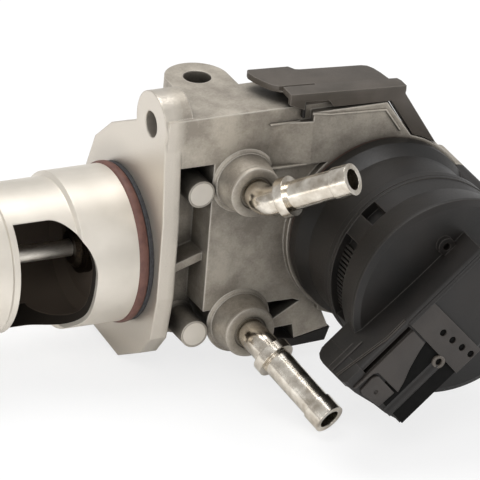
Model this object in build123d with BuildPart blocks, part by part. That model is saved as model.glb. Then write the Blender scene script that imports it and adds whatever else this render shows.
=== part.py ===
from build123d import *
import os
from math import atan, cos, radians, sin, sqrt

os.makedirs("parts", exist_ok=True)

# Exhaust gas recirculation valve with a motor drive, in millimetres.
# X runs along the valve stem, from the spigot towards the drive. -Y points out of the drive's front. Z is up.
# The origin is where the stem's axis meets the sealing face of the mounting flange.

# Clearances
fit_gap = 0.02
running_gap = 0.06
face_gap = 0.3

# Spigot tube with its gas window
tube_radius = 25.0
tube_wall = 3.0
tube_length = 64.0
land_radius = 26.6
land_length = 25.0
step_chamfer = 1.0
end_land_length = 13.0
end_land_height = 0.7
root_radius = 12.5
root_length = 11.0
tube_floor = 13.0
groove_from_flange = 1.0
groove_width = 3.0
ring_section = 2.6
ring_stand_out = 0.8
window_from_flange = 20.4
window_length = 27.4
window_width = 45.6
window_tilt = -14.0
window_big_radius = 15.0
window_small_radius = 2.5

# Valve, seat, guide and spring
stem_radius = 3.0
seat_length = 6.0
seat_outer_radius = 23.4
seat_bore_radius = 17.5
head_radius = 20.0
head_thickness = 3.5
valve_travel = 6.6
guide_radius = 7.0
guide_front = -18.6
guide_end = 13.0
guide_collar_radius = 9.0
seal_length = 4.0
spring_chamber_radius = 13.5
spring_mean_radius = 10.0
wire_radius = 1.0
spring_turns = 4.0
spring_seat_x = 18.5
retainer_x = 37.0
retainer_thickness = 2.0
retainer_radius = 12.4
yoke_start = 41.5
yoke_block = 5.0
yoke_half_gap = 3.4
yoke_arm = 3.6
yoke_half_height = 6.0
pin_radius = 2.2

# Mounting flange of the housing, in the plane across the stem
flange_thickness = 6.0
ear_thickness = 10.3
ear_hole_y = -16.5
ear_hole_z = 50.6
ear_radius = 11.4
flange_hole_radius = 4.5
ear_hole_depth = 12.0
rear_ear_y = 24.0
rear_ear_z = -25.0
rear_ear_radius = 13.5

# Housing body
body_left = 18.7
body_front = -28.0
body_back = 14.0
body_top = 56.0
body_ledge = -16.0
body_bottom = -29.0
recess_top = 38.5
neck_front = -15.0
neck_step = -5.0
neck_back = 17.0
neck_high = 30.0
neck_rib = [(6.0, -3.0), (19.7, 1.6), (19.7, 4.6), (6.0, 0.0)]
neck_rib_front = -24.0
ridge_back = -7.0
ridge_drop = 26.0
shoulder_x = 81.0
pad_height = 2.5
pad_left = 53.0
ledge_left = 39.0
ledge_low = 35.0
ledge_high = 50.7
lug_x = 25.0
lug_y = 2.0
lug_radius = 11.0
lug_thickness = 16.0
lug_hole_radius = 4.75
edge_round = 1.6

# Coolant pipes and their bosses
upper_boss_x = 30.0
upper_boss_z = 31.0
lower_boss_x = 32.0
lower_boss_z = -21.0
boss_base_radius = 10.4
boss_end_radius = 8.8
boss_height = 9.5
pipe_radius = 5.0
pipe_bore_radius = 3.6
pipe_seat_depth = 12.0
pipe_elbow_out = 8.0
pipe_bend_radius = 8.5
upper_pipe_length = 34.2
lower_pipe_length = 37.0
upper_pipe_direction = Vector(0.577, -0.66, 0.48)
lower_pipe_direction = Vector(0.314, -0.859, -0.404)
collar_radius = 6.9
collar_length = 3.4
bead_radius = 5.5
bead_length = 6.5
gallery_radius = 3.4

# Core plugs on their posts
plug_radius = 4.1
plug_thickness = 2.0
post_radius = 4.8
post_front = -29.0
post_back = -10.0
upper_post_x = 14.4
upper_post_z = 28.4
lower_post_x = 15.7
lower_post_z = -23.5

# Drive: drum axis, shaft, gears and motor
drum_x = 80.0
drum_z = 8.5
drum_seat_radius = 33.5
drum_radius = 30.4
drum_foot_radius = 32.6
drum_wall = 2.2
gasket_thickness = 0.8
base_floor = 2.7
base_length = 29.1
shaft_x = 66.0
shaft_radius = 4.0
rear_bush_radius = 6.5
rear_bush_length = 5.5
bush_wall = 2.4
front_bearing_radius = 8.0
front_bearing_length = 7.0
shaft_seal_length = 4.0
sensor_magnet_radius = 4.6
board_length = 26.0
board_width = 20.0
cam_start_radius = 10.0
cam_thickness = 5.6
cam_turn = 60.0
cam_web = 3.2
cam_hub_radius = 7.4
gear_module = 1.0
pressure_angle = 25.0
addendum = 0.75
dedendum = 1.05
tooth_thinning = 0.16
sector_teeth = 40
sector_low = -24.0
sector_high = 64.0
sector_hub_radius = 8.0
sector_hole_radius = 2.3
idler_hole_circle = 9.2
idler_hole_count = 6
idler_hole_radius = 2.6
idler_small_teeth = 12
idler_large_teeth = 30
pinion_teeth = 10
idler_direction = 50.0
pinion_direction = -60.0
sector_thickness = 5.0
idler_large_thickness = 5.0
axle_radius = 1.5
motor_radius = 12.4
motor_length = 31.0
motor_wall = 1.2
rotor_radius = 8.4
bush_radius = 3.4
slot_count = 5
slot_length = 4.6
slot_width = 1.4
commutator_radius = 3.6
commutator_length = 4.4
motor_shaft_radius = 1.6
motor_plate_thickness = 1.6

# Drive cover and connector
cover_length = 28.0
collar_radius_drum = 32.3
cover_waist_radius = 32.6
cover_front_radius = 35.3
cover_groove_radius = 28.9
collar_band = 3.0
cover_band = 1.5
groove_band = 9.3
cover_dome = 3.0
hub_x = 75.3
hub_z = 29.3
hub_radius = 3.0
hub_hole_radius = 1.3
connector_direction = 222.0
connector_start = -18.0
connector_mouth = 41.0
connector_offset = 2.3
connector_thickness = 28.6
connector_width = 22.9
connector_front = -102.0
connector_wall = 2.0
connector_round = 2.0
socket_offset = 0.8
socket_thickness = 21.6
connector_depth = 17.0
side_slot_offset = 14.3
side_slot_width = 1.6
side_slot_depth = 5.0
side_slot_start = 17.0
vent_radius = 1.1
vent_start = 9.5
vent_offsets = (3.2, -2.0, -7.2)
rib_tube_radius = 2.5
rib_tube_bore = 1.4
rib_tube_offset = -4.0
rib_tube_start = 19.0
pin_count = 5
pin_pitch = 4.2
pin_length = 11.0

# Fixing ears of the drive
ear_pitch_radius = 32.0
drive_ear_radius = 3.7
sleeve_angles = (28.0, 253.0, 322.0)
drive_ear_length = 6.0
screw_radius = 2.0
screw_head_radius = 3.4
screw_head_length = 3.6
socket_radius = 1.6
head_room = 0.3
screw_room = 0.2

# Rear lid
lid_left = 38.0
lid_right = 90.0
lid_low = -22.0
lid_high = 27.0
lid_thickness = 3.0
lid_corner = 7.0
lid_screw_inset = 5.0
lid_screw_radius = 2.0
lid_screw_length = 8.0
lid_screw_post = 5.0
lid_screw_head = 3.6
cavity_inset = 4.5
cavity_front = -9.5

# Plastic covers on the housing
cap_left = 44.0
cap_crest_x = 59.3
cap_crest = 60.4
cap_right = 84.6
cap_right_top = 58.8
cap_slope_end_x = 105.5
cap_slope_end_z = 28.0
cap_front = -30.2
cap_back = -9.0
skirt_low = 54.3
skirt_left = 52.0
skirt_right = 79.0

# Values that follow from the sizes above
seat_plane_y = body_front - pad_height
base_start = seat_plane_y - gasket_thickness
base_end = base_start - base_length
cover_start = base_end - face_gap
cover_end = cover_start - cover_length
boss_end_y = body_front - boss_height
slide_per_radian = valve_travel / radians(cam_turn)
pin_x = shaft_x - cam_start_radius
small_centre = gear_module * (sector_teeth + idler_small_teeth) / 2
large_centre = gear_module * (idler_large_teeth + pinion_teeth) / 2
idler_x = shaft_x + small_centre * cos(radians(idler_direction))
idler_z = small_centre * sin(radians(idler_direction))
motor_x = idler_x + large_centre * cos(radians(pinion_direction))
motor_z = idler_z + large_centre * sin(radians(pinion_direction))
sector_y = base_start - base_floor - 1.4
large_gear_y = sector_y - sector_thickness - 1.4
plate_y = large_gear_y - idler_large_thickness - 2.6


def across_stem(x):
    return Plane.YZ.offset(x)


def across_drum(y):
    return Plane.XZ.offset(-y)


def stem_ring(points):
    """Solid of revolution about the stem from (x, radius) points."""
    with BuildPart() as ring:
        with BuildSketch(Plane.XZ):
            with BuildLine():
                Polyline(*points, close=True)
            make_face()
        revolve(axis=Axis.X)
    return ring.part


def drum_ring(x, z, points):
    """Solid of revolution about a line along Y through (x, z), from (radius, y) points."""
    with BuildPart() as ring:
        with BuildSketch(Plane((x, 0, z))):
            with BuildLine():
                Polyline(*points, close=True)
            make_face()
        revolve(axis=Axis((x, 0, z), (0, 1, 0)))
    return ring.part


def disc(x, z, radius, y_from, y_to, bore=0.0):
    """Round disc or sleeve along Y."""
    return drum_ring(x, z, [(bore, y_from), (radius, y_from), (radius, y_to), (bore, y_to)])


def finish(part, name):
    part.label = name
    export_step(part, f"parts/{name}.step")


def involute(base, radius):
    """Angle in radians that an involute from the base circle has turned at a radius."""
    reach = sqrt(max(radius * radius / (base * base) - 1.0, 0.0))
    return reach - atan(reach)


def gear_points(teeth, turn):
    """Outline of a spur gear with one tooth centred on the turn angle, in degrees."""
    pitch = gear_module * teeth / 2
    base = pitch * cos(radians(pressure_angle))
    tip = pitch + addendum * gear_module
    root = pitch - dedendum * gear_module
    half = radians(90.0 / teeth) - tooth_thinning / 2 / pitch + involute(base, pitch)
    start = max(base, root)
    radii = [root] if root < base else []
    radii += [start + (tip - start) * step / 3 for step in range(4)]
    flank = [(radius, half - involute(base, max(radius, base))) for radius in radii]
    points = []
    for tooth in range(teeth):
        centre = radians(turn + 360.0 * tooth / teeth)
        points += [(radius * cos(centre - angle), radius * sin(centre - angle)) for radius, angle in flank]
        points += [(radius * cos(centre + angle), radius * sin(centre + angle)) for radius, angle in reversed(flank)]
    return points


def gear(teeth, turn, x, z, y_from, thickness, bore):
    """Spur gear along Y, from its face nearest the housing."""
    with BuildPart() as wheel:
        with BuildSketch(Plane((x, y_from, z), x_dir=(1, 0, 0), z_dir=(0, -1, 0))):
            with BuildLine():
                Polyline(*gear_points(teeth, turn), close=True)
            make_face()
            Circle(bore, mode=Mode.SUBTRACT)
        extrude(amount=thickness)
    return wheel.part


def rounded_hull(plane, circles, amount):
    """Plate whose outline wraps round circles given as (u, v, radius)."""
    with BuildPart() as plate:
        with BuildSketch(plane):
            for u, v, radius in circles:
                with Locations((u, v)):
                    Circle(radius)
            make_hull()
        extrude(amount=amount)
    return plate.part


def block(x_from, x_to, y_from, y_to, z_from, z_to):
    """Rectangular block between two corners."""
    with BuildPart(Plane(((x_from + x_to) / 2, (y_from + y_to) / 2, (z_from + z_to) / 2))) as solid:
        Box(x_to - x_from, y_to - y_from, z_to - z_from)
    return solid.part


def prism(points, y_from, y_to):
    """Prism along Y from an outline of (x, z) points; y_from is the end nearer the back."""
    with BuildPart() as solid:
        with BuildSketch(across_drum(y_from)):
            with BuildLine():
                Polyline(*points, close=True)
            make_face()
        extrude(amount=y_from - y_to)
    return solid.part


# Spigot tube: turned outside and inside, with a sealing land and groove beside the flange and a window at the front
land_start = -land_length
groove_end = -groove_from_flange
groove_start = groove_end - groove_width
tube_end = -tube_length
tube_bore = tube_radius - tube_wall
end_land = tube_end + end_land_length
groove_floor = land_radius + ring_stand_out - ring_section
with BuildPart() as spigot_tube:
    add(stem_ring([
        (tube_end, 0), (tube_end, tube_radius + end_land_height), (end_land, tube_radius + end_land_height),
        (end_land + step_chamfer, tube_radius), (land_start - step_chamfer, tube_radius),
        (land_start, land_radius), (groove_start, land_radius), (groove_start, groove_floor),
        (groove_end, groove_floor), (groove_end, land_radius), (-fit_gap, land_radius), (-fit_gap, root_radius),
        (root_length, root_radius), (root_length, 0)]))
    add(stem_ring([
        (tube_end - 1, 0), (tube_end - 1, seat_outer_radius + fit_gap),
        (tube_end + seat_length + fit_gap, seat_outer_radius + fit_gap),
        (tube_end + seat_length + fit_gap, tube_bore), (-tube_floor - 3, tube_bore), (-tube_floor, tube_bore - 4),
        (-tube_floor, 0)]), mode=Mode.SUBTRACT)
    add(stem_ring([
        (-tube_floor - 1, 0), (-tube_floor - 1, guide_radius + fit_gap), (root_length + 1, guide_radius + fit_gap),
        (root_length + 1, 0)]), mode=Mode.SUBTRACT)
    window_plane = Plane((0, 0, 0), x_dir=(1, 0, 0),
                         z_dir=(0, -cos(radians(window_tilt)), sin(radians(window_tilt))))
    with BuildSketch(window_plane):
        with Locations((-window_from_flange - window_length / 2, 0)):
            window = Rectangle(window_length, window_width)
        window_ends = window.vertices().group_by(Axis.X)
        fillet(window_ends[-1], window_big_radius)
        fillet(window_ends[0], window_small_radius)
    extrude(amount=tube_radius + 5, mode=Mode.SUBTRACT)
finish(spigot_tube.part, "spigot_tube")

# Seat ring with a 45 degree face at its outer end
with BuildPart() as valve_seat:
    add(stem_ring([
        (tube_end, seat_bore_radius + 2.4), (tube_end, seat_outer_radius), (tube_end + seat_length, seat_outer_radius),
        (tube_end + seat_length, seat_bore_radius + 1), (tube_end + seat_length - 1, seat_bore_radius),
        (tube_end + 2.4, seat_bore_radius)]))
finish(valve_seat.part, "valve_seat")

# Valve: stem with a flared head that closes the seat from outside
seat_face = tube_end - running_gap
with BuildPart() as poppet_valve:
    add(stem_ring([
        (seat_face - head_thickness + 1.6, 0), (seat_face - head_thickness, 4.0), (seat_face - head_thickness, head_radius - 0.8),
        (seat_face - head_thickness + 0.8, head_radius), (seat_face - 0.1, head_radius),
        (seat_face + 2.3, head_radius - 2.4), (seat_face + 3.0, head_radius - 6.5), (seat_face + 5.5, 7.0),
        (seat_face + 10.0, 3.9), (seat_face + 15.0, stem_radius), (yoke_start + yoke_block - 1, stem_radius),
        (yoke_start + yoke_block, stem_radius - 0.6), (yoke_start + yoke_block, 0)]))
finish(poppet_valve.part, "poppet_valve")

# Guide bush, with a collar that sits on the tube's floor inside the gas passage
with BuildPart() as stem_guide:
    add(stem_ring([
        (guide_front, stem_radius + running_gap), (guide_front, guide_radius - 1.5), (guide_front + 1.5, guide_radius),
        (-tube_floor - 3, guide_radius), (-tube_floor - 3, guide_collar_radius), (-tube_floor - fit_gap, guide_collar_radius),
        (-tube_floor - fit_gap, guide_radius), (guide_end, guide_radius), (guide_end, stem_radius + running_gap)]))
finish(stem_guide.part, "stem_guide")

# Lip seal behind the guide
with BuildPart() as stem_seal:
    add(stem_ring([
        (guide_end + fit_gap, stem_radius + 0.1), (guide_end + fit_gap, guide_radius),
        (guide_end + seal_length, guide_radius), (guide_end + seal_length, stem_radius + 1.6),
        (guide_end + 2.0, stem_radius + 1.6), (guide_end + 1.2, stem_radius + 0.1)]))
finish(stem_seal.part, "stem_seal")

# Seal ring in the spigot's groove
ring_centre = (groove_start + groove_end) / 2
ring_radius = land_radius + ring_stand_out - ring_section / 2
with BuildPart() as spigot_seal:
    with BuildSketch(Plane.XZ):
        with Locations((ring_centre, ring_radius + fit_gap)):
            Circle(ring_section / 2)
    revolve(axis=Axis.X)
finish(spigot_seal.part, "spigot_seal")

# Return spring between the chamber's floor and the retainer
spring_start = spring_seat_x + wire_radius + 0.05
spring_end = retainer_x - wire_radius - 0.05
spring_path = Helix(pitch=(spring_end - spring_start) / spring_turns, height=spring_end - spring_start,
                    radius=spring_mean_radius, center=(spring_start, 0, 0), direction=(1, 0, 0))
with BuildPart() as return_spring:
    with BuildSketch(Plane(spring_path @ 0, z_dir=spring_path % 0)):
        Circle(wire_radius)
    sweep(path=spring_path, is_frenet=True)
finish(return_spring.part, "return_spring")

# Retainer cup on the stem
with BuildPart() as spring_retainer:
    add(stem_ring([
        (retainer_x, stem_radius + fit_gap), (retainer_x, retainer_radius - 1.0),
        (retainer_x - 2.5, retainer_radius - 1.0), (retainer_x - 2.5, retainer_radius),
        (retainer_x + retainer_thickness, retainer_radius),
        (retainer_x + retainer_thickness, stem_radius + fit_gap)]))
finish(spring_retainer.part, "spring_retainer")

# Yoke on the stem's end, with two arms that carry the follower pin on each side of the cam plate
yoke_half_width = yoke_half_gap + yoke_arm
yoke_end_radius = pin_radius + 1.4
with BuildPart() as yoke:
    with BuildSketch(across_drum(yoke_half_width)):
        with Locations((pin_x, 0)):
            Circle(yoke_end_radius)
        with BuildLine():
            Polyline((yoke_start, yoke_half_height), (yoke_start + yoke_block, yoke_half_height), (pin_x, yoke_end_radius),
                     (pin_x, -yoke_end_radius), (yoke_start + yoke_block, -yoke_half_height),
                     (yoke_start, -yoke_half_height), close=True)
        make_face()
    extrude(amount=2 * yoke_half_width)
    add(block(yoke_start + yoke_block + 0.4, shaft_x, -yoke_half_gap, yoke_half_gap, -10, 10), mode=Mode.SUBTRACT)
    add(stem_ring([(yoke_start - 1, 0), (yoke_start - 1, stem_radius + fit_gap),
                   (yoke_start + yoke_block + 1, stem_radius + fit_gap), (yoke_start + yoke_block + 1, 0)]),
        mode=Mode.SUBTRACT)
    add(disc(pin_x, 0, pin_radius + fit_gap, -10, 10), mode=Mode.SUBTRACT)
finish(yoke.part, "yoke")

# Follower pin through both arms and the cam slot
with BuildPart() as follower_pin:
    add(disc(pin_x, 0, pin_radius, -yoke_half_width - 0.2, yoke_half_width + 0.2))
    chamfer(follower_pin.edges().filter_by(GeomType.CIRCLE), 0.4)
finish(follower_pin.part, "follower_pin")


def spiral(turn, shift):
    """Point of the cam slot's line, moved outwards by shift, where the slot meets the stem's axis after a turn in degrees."""
    radius = cam_start_radius + slide_per_radian * radians(turn)
    direction = radians(180.0 - turn)
    slope = -slide_per_radian / radius
    lean = atan(slope)
    normal = direction - lean
    return (shaft_x + radius * cos(direction) + shift * cos(normal), radius * sin(direction) + shift * sin(normal))


def slot_band(half, overrun):
    """Face that follows the cam slot at a half width, with round ends."""
    turns = [-overrun + (cam_turn + 2 * overrun) * step / 10 for step in range(11)]
    outer = [spiral(turn, half) for turn in turns]
    inner = [spiral(turn, -half) for turn in turns]
    with BuildSketch() as band:
        with BuildLine():
            Spline(*outer)
            Line(outer[-1], inner[-1])
            Spline(*reversed(inner))
            Line(inner[0], outer[0])
        make_face()
        for turn in (turns[0], turns[-1]):
            with Locations(spiral(turn, 0)):
                Circle(half)
    return band.sketch


# Cam plate: its slot moves away from the shaft in step with the turn, so the stem's travel is proportional to it
cam_plane = Plane((0, cam_thickness / 2, 0), x_dir=(1, 0, 0), z_dir=(0, -1, 0))
with BuildPart() as cam_plate:
    with BuildSketch(cam_plane):
        add(slot_band(pin_radius + running_gap + cam_web, 2.0))
        with Locations((shaft_x, 0)):
            Circle(cam_hub_radius)
        add(slot_band(pin_radius + running_gap, 2.0), mode=Mode.SUBTRACT)
        with Locations((shaft_x, 0)):
            Circle(shaft_radius + fit_gap, mode=Mode.SUBTRACT)
    extrude(amount=cam_thickness)
finish(cam_plate.part, "cam_plate")

# Cam shaft from the rear bush to the sensor magnet
shaft_back = body_back - 0.5
shaft_front = sector_y - sector_thickness - 2.8
with BuildPart() as cam_shaft:
    add(disc(shaft_x, 0, shaft_radius, shaft_front, shaft_back))
    chamfer(cam_shaft.edges().filter_by(GeomType.CIRCLE), 0.5)
finish(cam_shaft.part, "cam_shaft")

# Sector gear on the shaft, with windows that lighten its web
sector_pitch = gear_module * sector_teeth / 2
with BuildPart() as sector_gear:
    with BuildSketch(Plane((shaft_x, sector_y, 0), x_dir=(1, 0, 0), z_dir=(0, -1, 0))):
        with BuildLine():
            Polyline(*gear_points(sector_teeth, idler_direction), close=True)
        make_face()
        reach = 2 * sector_pitch
        with BuildLine():
            Polyline((0, 0), (reach * cos(radians(sector_low)), reach * sin(radians(sector_low))),
                     (reach, reach * sin(radians(20.0))),
                     (reach * cos(radians(sector_high)), reach * sin(radians(sector_high))), close=True)
        make_face(mode=Mode.INTERSECT)
        Circle(sector_hub_radius)
        with PolarLocations(sector_pitch * 0.63, 3, start_angle=sector_low + 16, angular_range=58, endpoint=True):
            Circle(sector_hole_radius, mode=Mode.SUBTRACT)
        Circle(shaft_radius + fit_gap, mode=Mode.SUBTRACT)
    extrude(amount=sector_thickness)
finish(sector_gear.part, "sector_gear")

# Magnet on the shaft's end, read by the position sensor
magnet_end = large_gear_y - idler_large_thickness
with BuildPart() as sensor_magnet:
    add(disc(shaft_x, 0, sensor_magnet_radius, magnet_end, shaft_front - fit_gap))
finish(sensor_magnet.part, "sensor_magnet")

# Idler: a large wheel and a small pinion in one piece, on a fixed axle
small_turn = idler_direction + 180.0 + 180.0 / idler_small_teeth
large_turn = pinion_direction
axle_bore = axle_radius + 0.05
with BuildPart() as idler_gear:
    add(gear(idler_small_teeth, small_turn, idler_x, idler_z, sector_y + 0.7, sector_thickness + 2.1, axle_bore))
    add(gear(idler_large_teeth, large_turn, idler_x, idler_z, large_gear_y, idler_large_thickness, axle_bore))
    with BuildSketch(across_drum(large_gear_y - idler_large_thickness)):
        with Locations((idler_x, idler_z)):
            with PolarLocations(idler_hole_circle, idler_hole_count, start_angle=15):
                Circle(idler_hole_radius)
    extrude(amount=-idler_large_thickness, mode=Mode.SUBTRACT)
finish(idler_gear.part, "idler_gear")

axle_back = base_start - 0.8
with BuildPart() as idler_axle:
    add(disc(idler_x, idler_z, axle_radius, plate_y - 1.2, axle_back))
finish(idler_axle.part, "idler_axle")

# Motor: pinion, shaft, armature and commutator turn; can, magnets, brush holder and bushes stay
pinion_turn = pinion_direction + 180.0 + 180.0 / pinion_teeth
plate_end = plate_y - motor_plate_thickness
can_end = plate_end - motor_length
with BuildPart() as motor_pinion:
    add(gear(pinion_teeth, pinion_turn, motor_x, motor_z, large_gear_y + 0.7, idler_large_thickness + 1.4,
             motor_shaft_radius + fit_gap))
finish(motor_pinion.part, "motor_pinion")

with BuildPart() as motor_shaft:
    add(disc(motor_x, motor_z, motor_shaft_radius, can_end + 0.4, large_gear_y + 0.9))
finish(motor_shaft.part, "motor_shaft")

armature_back = plate_end - 6.0
armature_front = plate_end - 21.0
with BuildPart() as armature:
    with BuildSketch(across_drum(armature_back)):
        with Locations((motor_x, motor_z)):
            Circle(rotor_radius)
            with PolarLocations(rotor_radius - slot_length / 2 + 0.1, slot_count, start_angle=18):
                Rectangle(slot_length, slot_width, mode=Mode.SUBTRACT)
            Circle(motor_shaft_radius + fit_gap, mode=Mode.SUBTRACT)
    extrude(amount=armature_back - armature_front)
finish(armature.part, "armature")

with BuildPart() as commutator:
    add(disc(motor_x, motor_z, commutator_radius, armature_front - 0.6 - commutator_length, armature_front - 0.6,
             motor_shaft_radius + fit_gap))
finish(commutator.part, "commutator")

with BuildPart() as motor_can:
    add(drum_ring(motor_x, motor_z, [
        (bush_radius + fit_gap, can_end), (motor_radius - 1.2, can_end), (motor_radius, can_end + 1.2),
        (motor_radius, plate_end - fit_gap), (motor_radius - motor_wall, plate_end - fit_gap),
        (motor_radius - motor_wall, can_end + motor_wall), (bush_radius + fit_gap, can_end + motor_wall)]))
finish(motor_can.part, "motor_can")

magnet_outer = motor_radius - motor_wall - fit_gap
with BuildPart() as motor_magnets:
    add(disc(motor_x, motor_z, magnet_outer, armature_front - 1.0, armature_back + 1.0, rotor_radius + 0.6))
    for side in (-1, 1):
        add(block(motor_x - 4.5, motor_x + 4.5, armature_front - 2, armature_back + 2,
                  motor_z + side * 10.5 - 5, motor_z + side * 10.5 + 5), mode=Mode.SUBTRACT)
finish(motor_magnets.part, "motor_magnets")

with BuildPart() as brush_holder:
    add(disc(motor_x, motor_z, magnet_outer, armature_front - 5.2, armature_front - 2.2, 4.2))
finish(brush_holder.part, "brush_holder")

with BuildPart() as motor_bushes:
    add(disc(motor_x, motor_z, bush_radius, plate_end - 1.6, plate_y, motor_shaft_radius + running_gap))
    add(disc(motor_x, motor_z, bush_radius, can_end, can_end + 3.0, motor_shaft_radius + running_gap))
finish(motor_bushes.part, "motor_bushes")

# Motor plate across the drum, which also holds the idler's axle and the sensor board
drum_bore = drum_radius - drum_wall
with BuildPart() as motor_plate:
    with BuildSketch(across_drum(plate_y)):
        with Locations((drum_x, drum_z)):
            Circle(drum_bore - 0.1)
            with PolarLocations(drum_bore - 4.0, 3, start_angle=150):
                Circle(2.4, mode=Mode.SUBTRACT)
        with Locations((motor_x, motor_z)):
            Circle(bush_radius + fit_gap, mode=Mode.SUBTRACT)
        with Locations((idler_x, idler_z)):
            Circle(axle_radius + fit_gap, mode=Mode.SUBTRACT)
    extrude(amount=motor_plate_thickness)
finish(motor_plate.part, "motor_plate")

board_thickness = 1.2
with BuildPart() as sensor_board:
    with BuildSketch(across_drum(plate_y + board_thickness + fit_gap)):
        with Locations((drum_x, drum_z)):
            Circle(drum_bore - 1.0)
        with Locations((shaft_x - 1.0, 2.0)):
            Rectangle(board_width, board_length, mode=Mode.INTERSECT)
    extrude(amount=board_thickness)
finish(sensor_board.part, "sensor_board")

# Cast housing: flange, neck, body, ridge, drum seat, bosses and lug as one casting
flange_outline = [
    (-30.6, -8.0), (-30.6, 20.0), (-27.9, 46.0), (-27.0, 50.6), (-16.5, 60.0), (-6.0, 51.5), (-6.0, 47.5),
    (12.7, 37.9), (24.3, 27.5), (29.8, 13.8), (37.0, -22.0), (17.0, -38.5), (-5.0, -40.6), (-21.0, -32.0),
    (-27.6, -24.0)]
body_outline = [
    (body_left, body_ledge), (body_left, body_top), (shoulder_x - 2.0, body_top), (shoulder_x, body_top - 2.0),
    (91.0, 39.0), (108.0, 14.0), (108.0, 0.0), (95.0, -20.0), (70.0, -24.0), (52.0, body_ledge)]
pad_outline = [(60.0, ledge_low), (pad_left, ledge_low), (pad_left, body_top - 2.0), (shoulder_x - 1.0, body_top - 2.0)]
pad_outline += body_outline[4:9] + [(60.0, -20.0)]
web_outline = [(44.0, body_ledge + 1.0), (44.6, -22.0), (52.0, -27.5), (64.0, -26.0), (58.0, body_ledge + 1.0)]
web_foot = [(43.4, -23.4), (53.6, -17.4), (60.0, -15.5), (65.8, -28.1), (53.4, -30.8), (52.4, -25.6), (44.3, -26.0)]
web_step = -20.0
sleeve_spots = [(drum_x + ear_pitch_radius * cos(radians(angle)), drum_z + ear_pitch_radius * sin(radians(angle)))
                for angle in sleeve_angles]
lid_screw_spots = [(x, z) for x in (lid_left + lid_screw_inset, lid_right - lid_screw_inset)
                   for z in (lid_low + lid_screw_inset, lid_high - lid_screw_inset)]
wall_back = body_top - ridge_drop
screw_reach = 14.0
bush_front = body_back - rear_bush_length
bearing_front = cavity_front - front_bearing_length
seal_back = seat_plane_y + shaft_seal_length
gallery_y = -21.0
deep = 70.0
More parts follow.
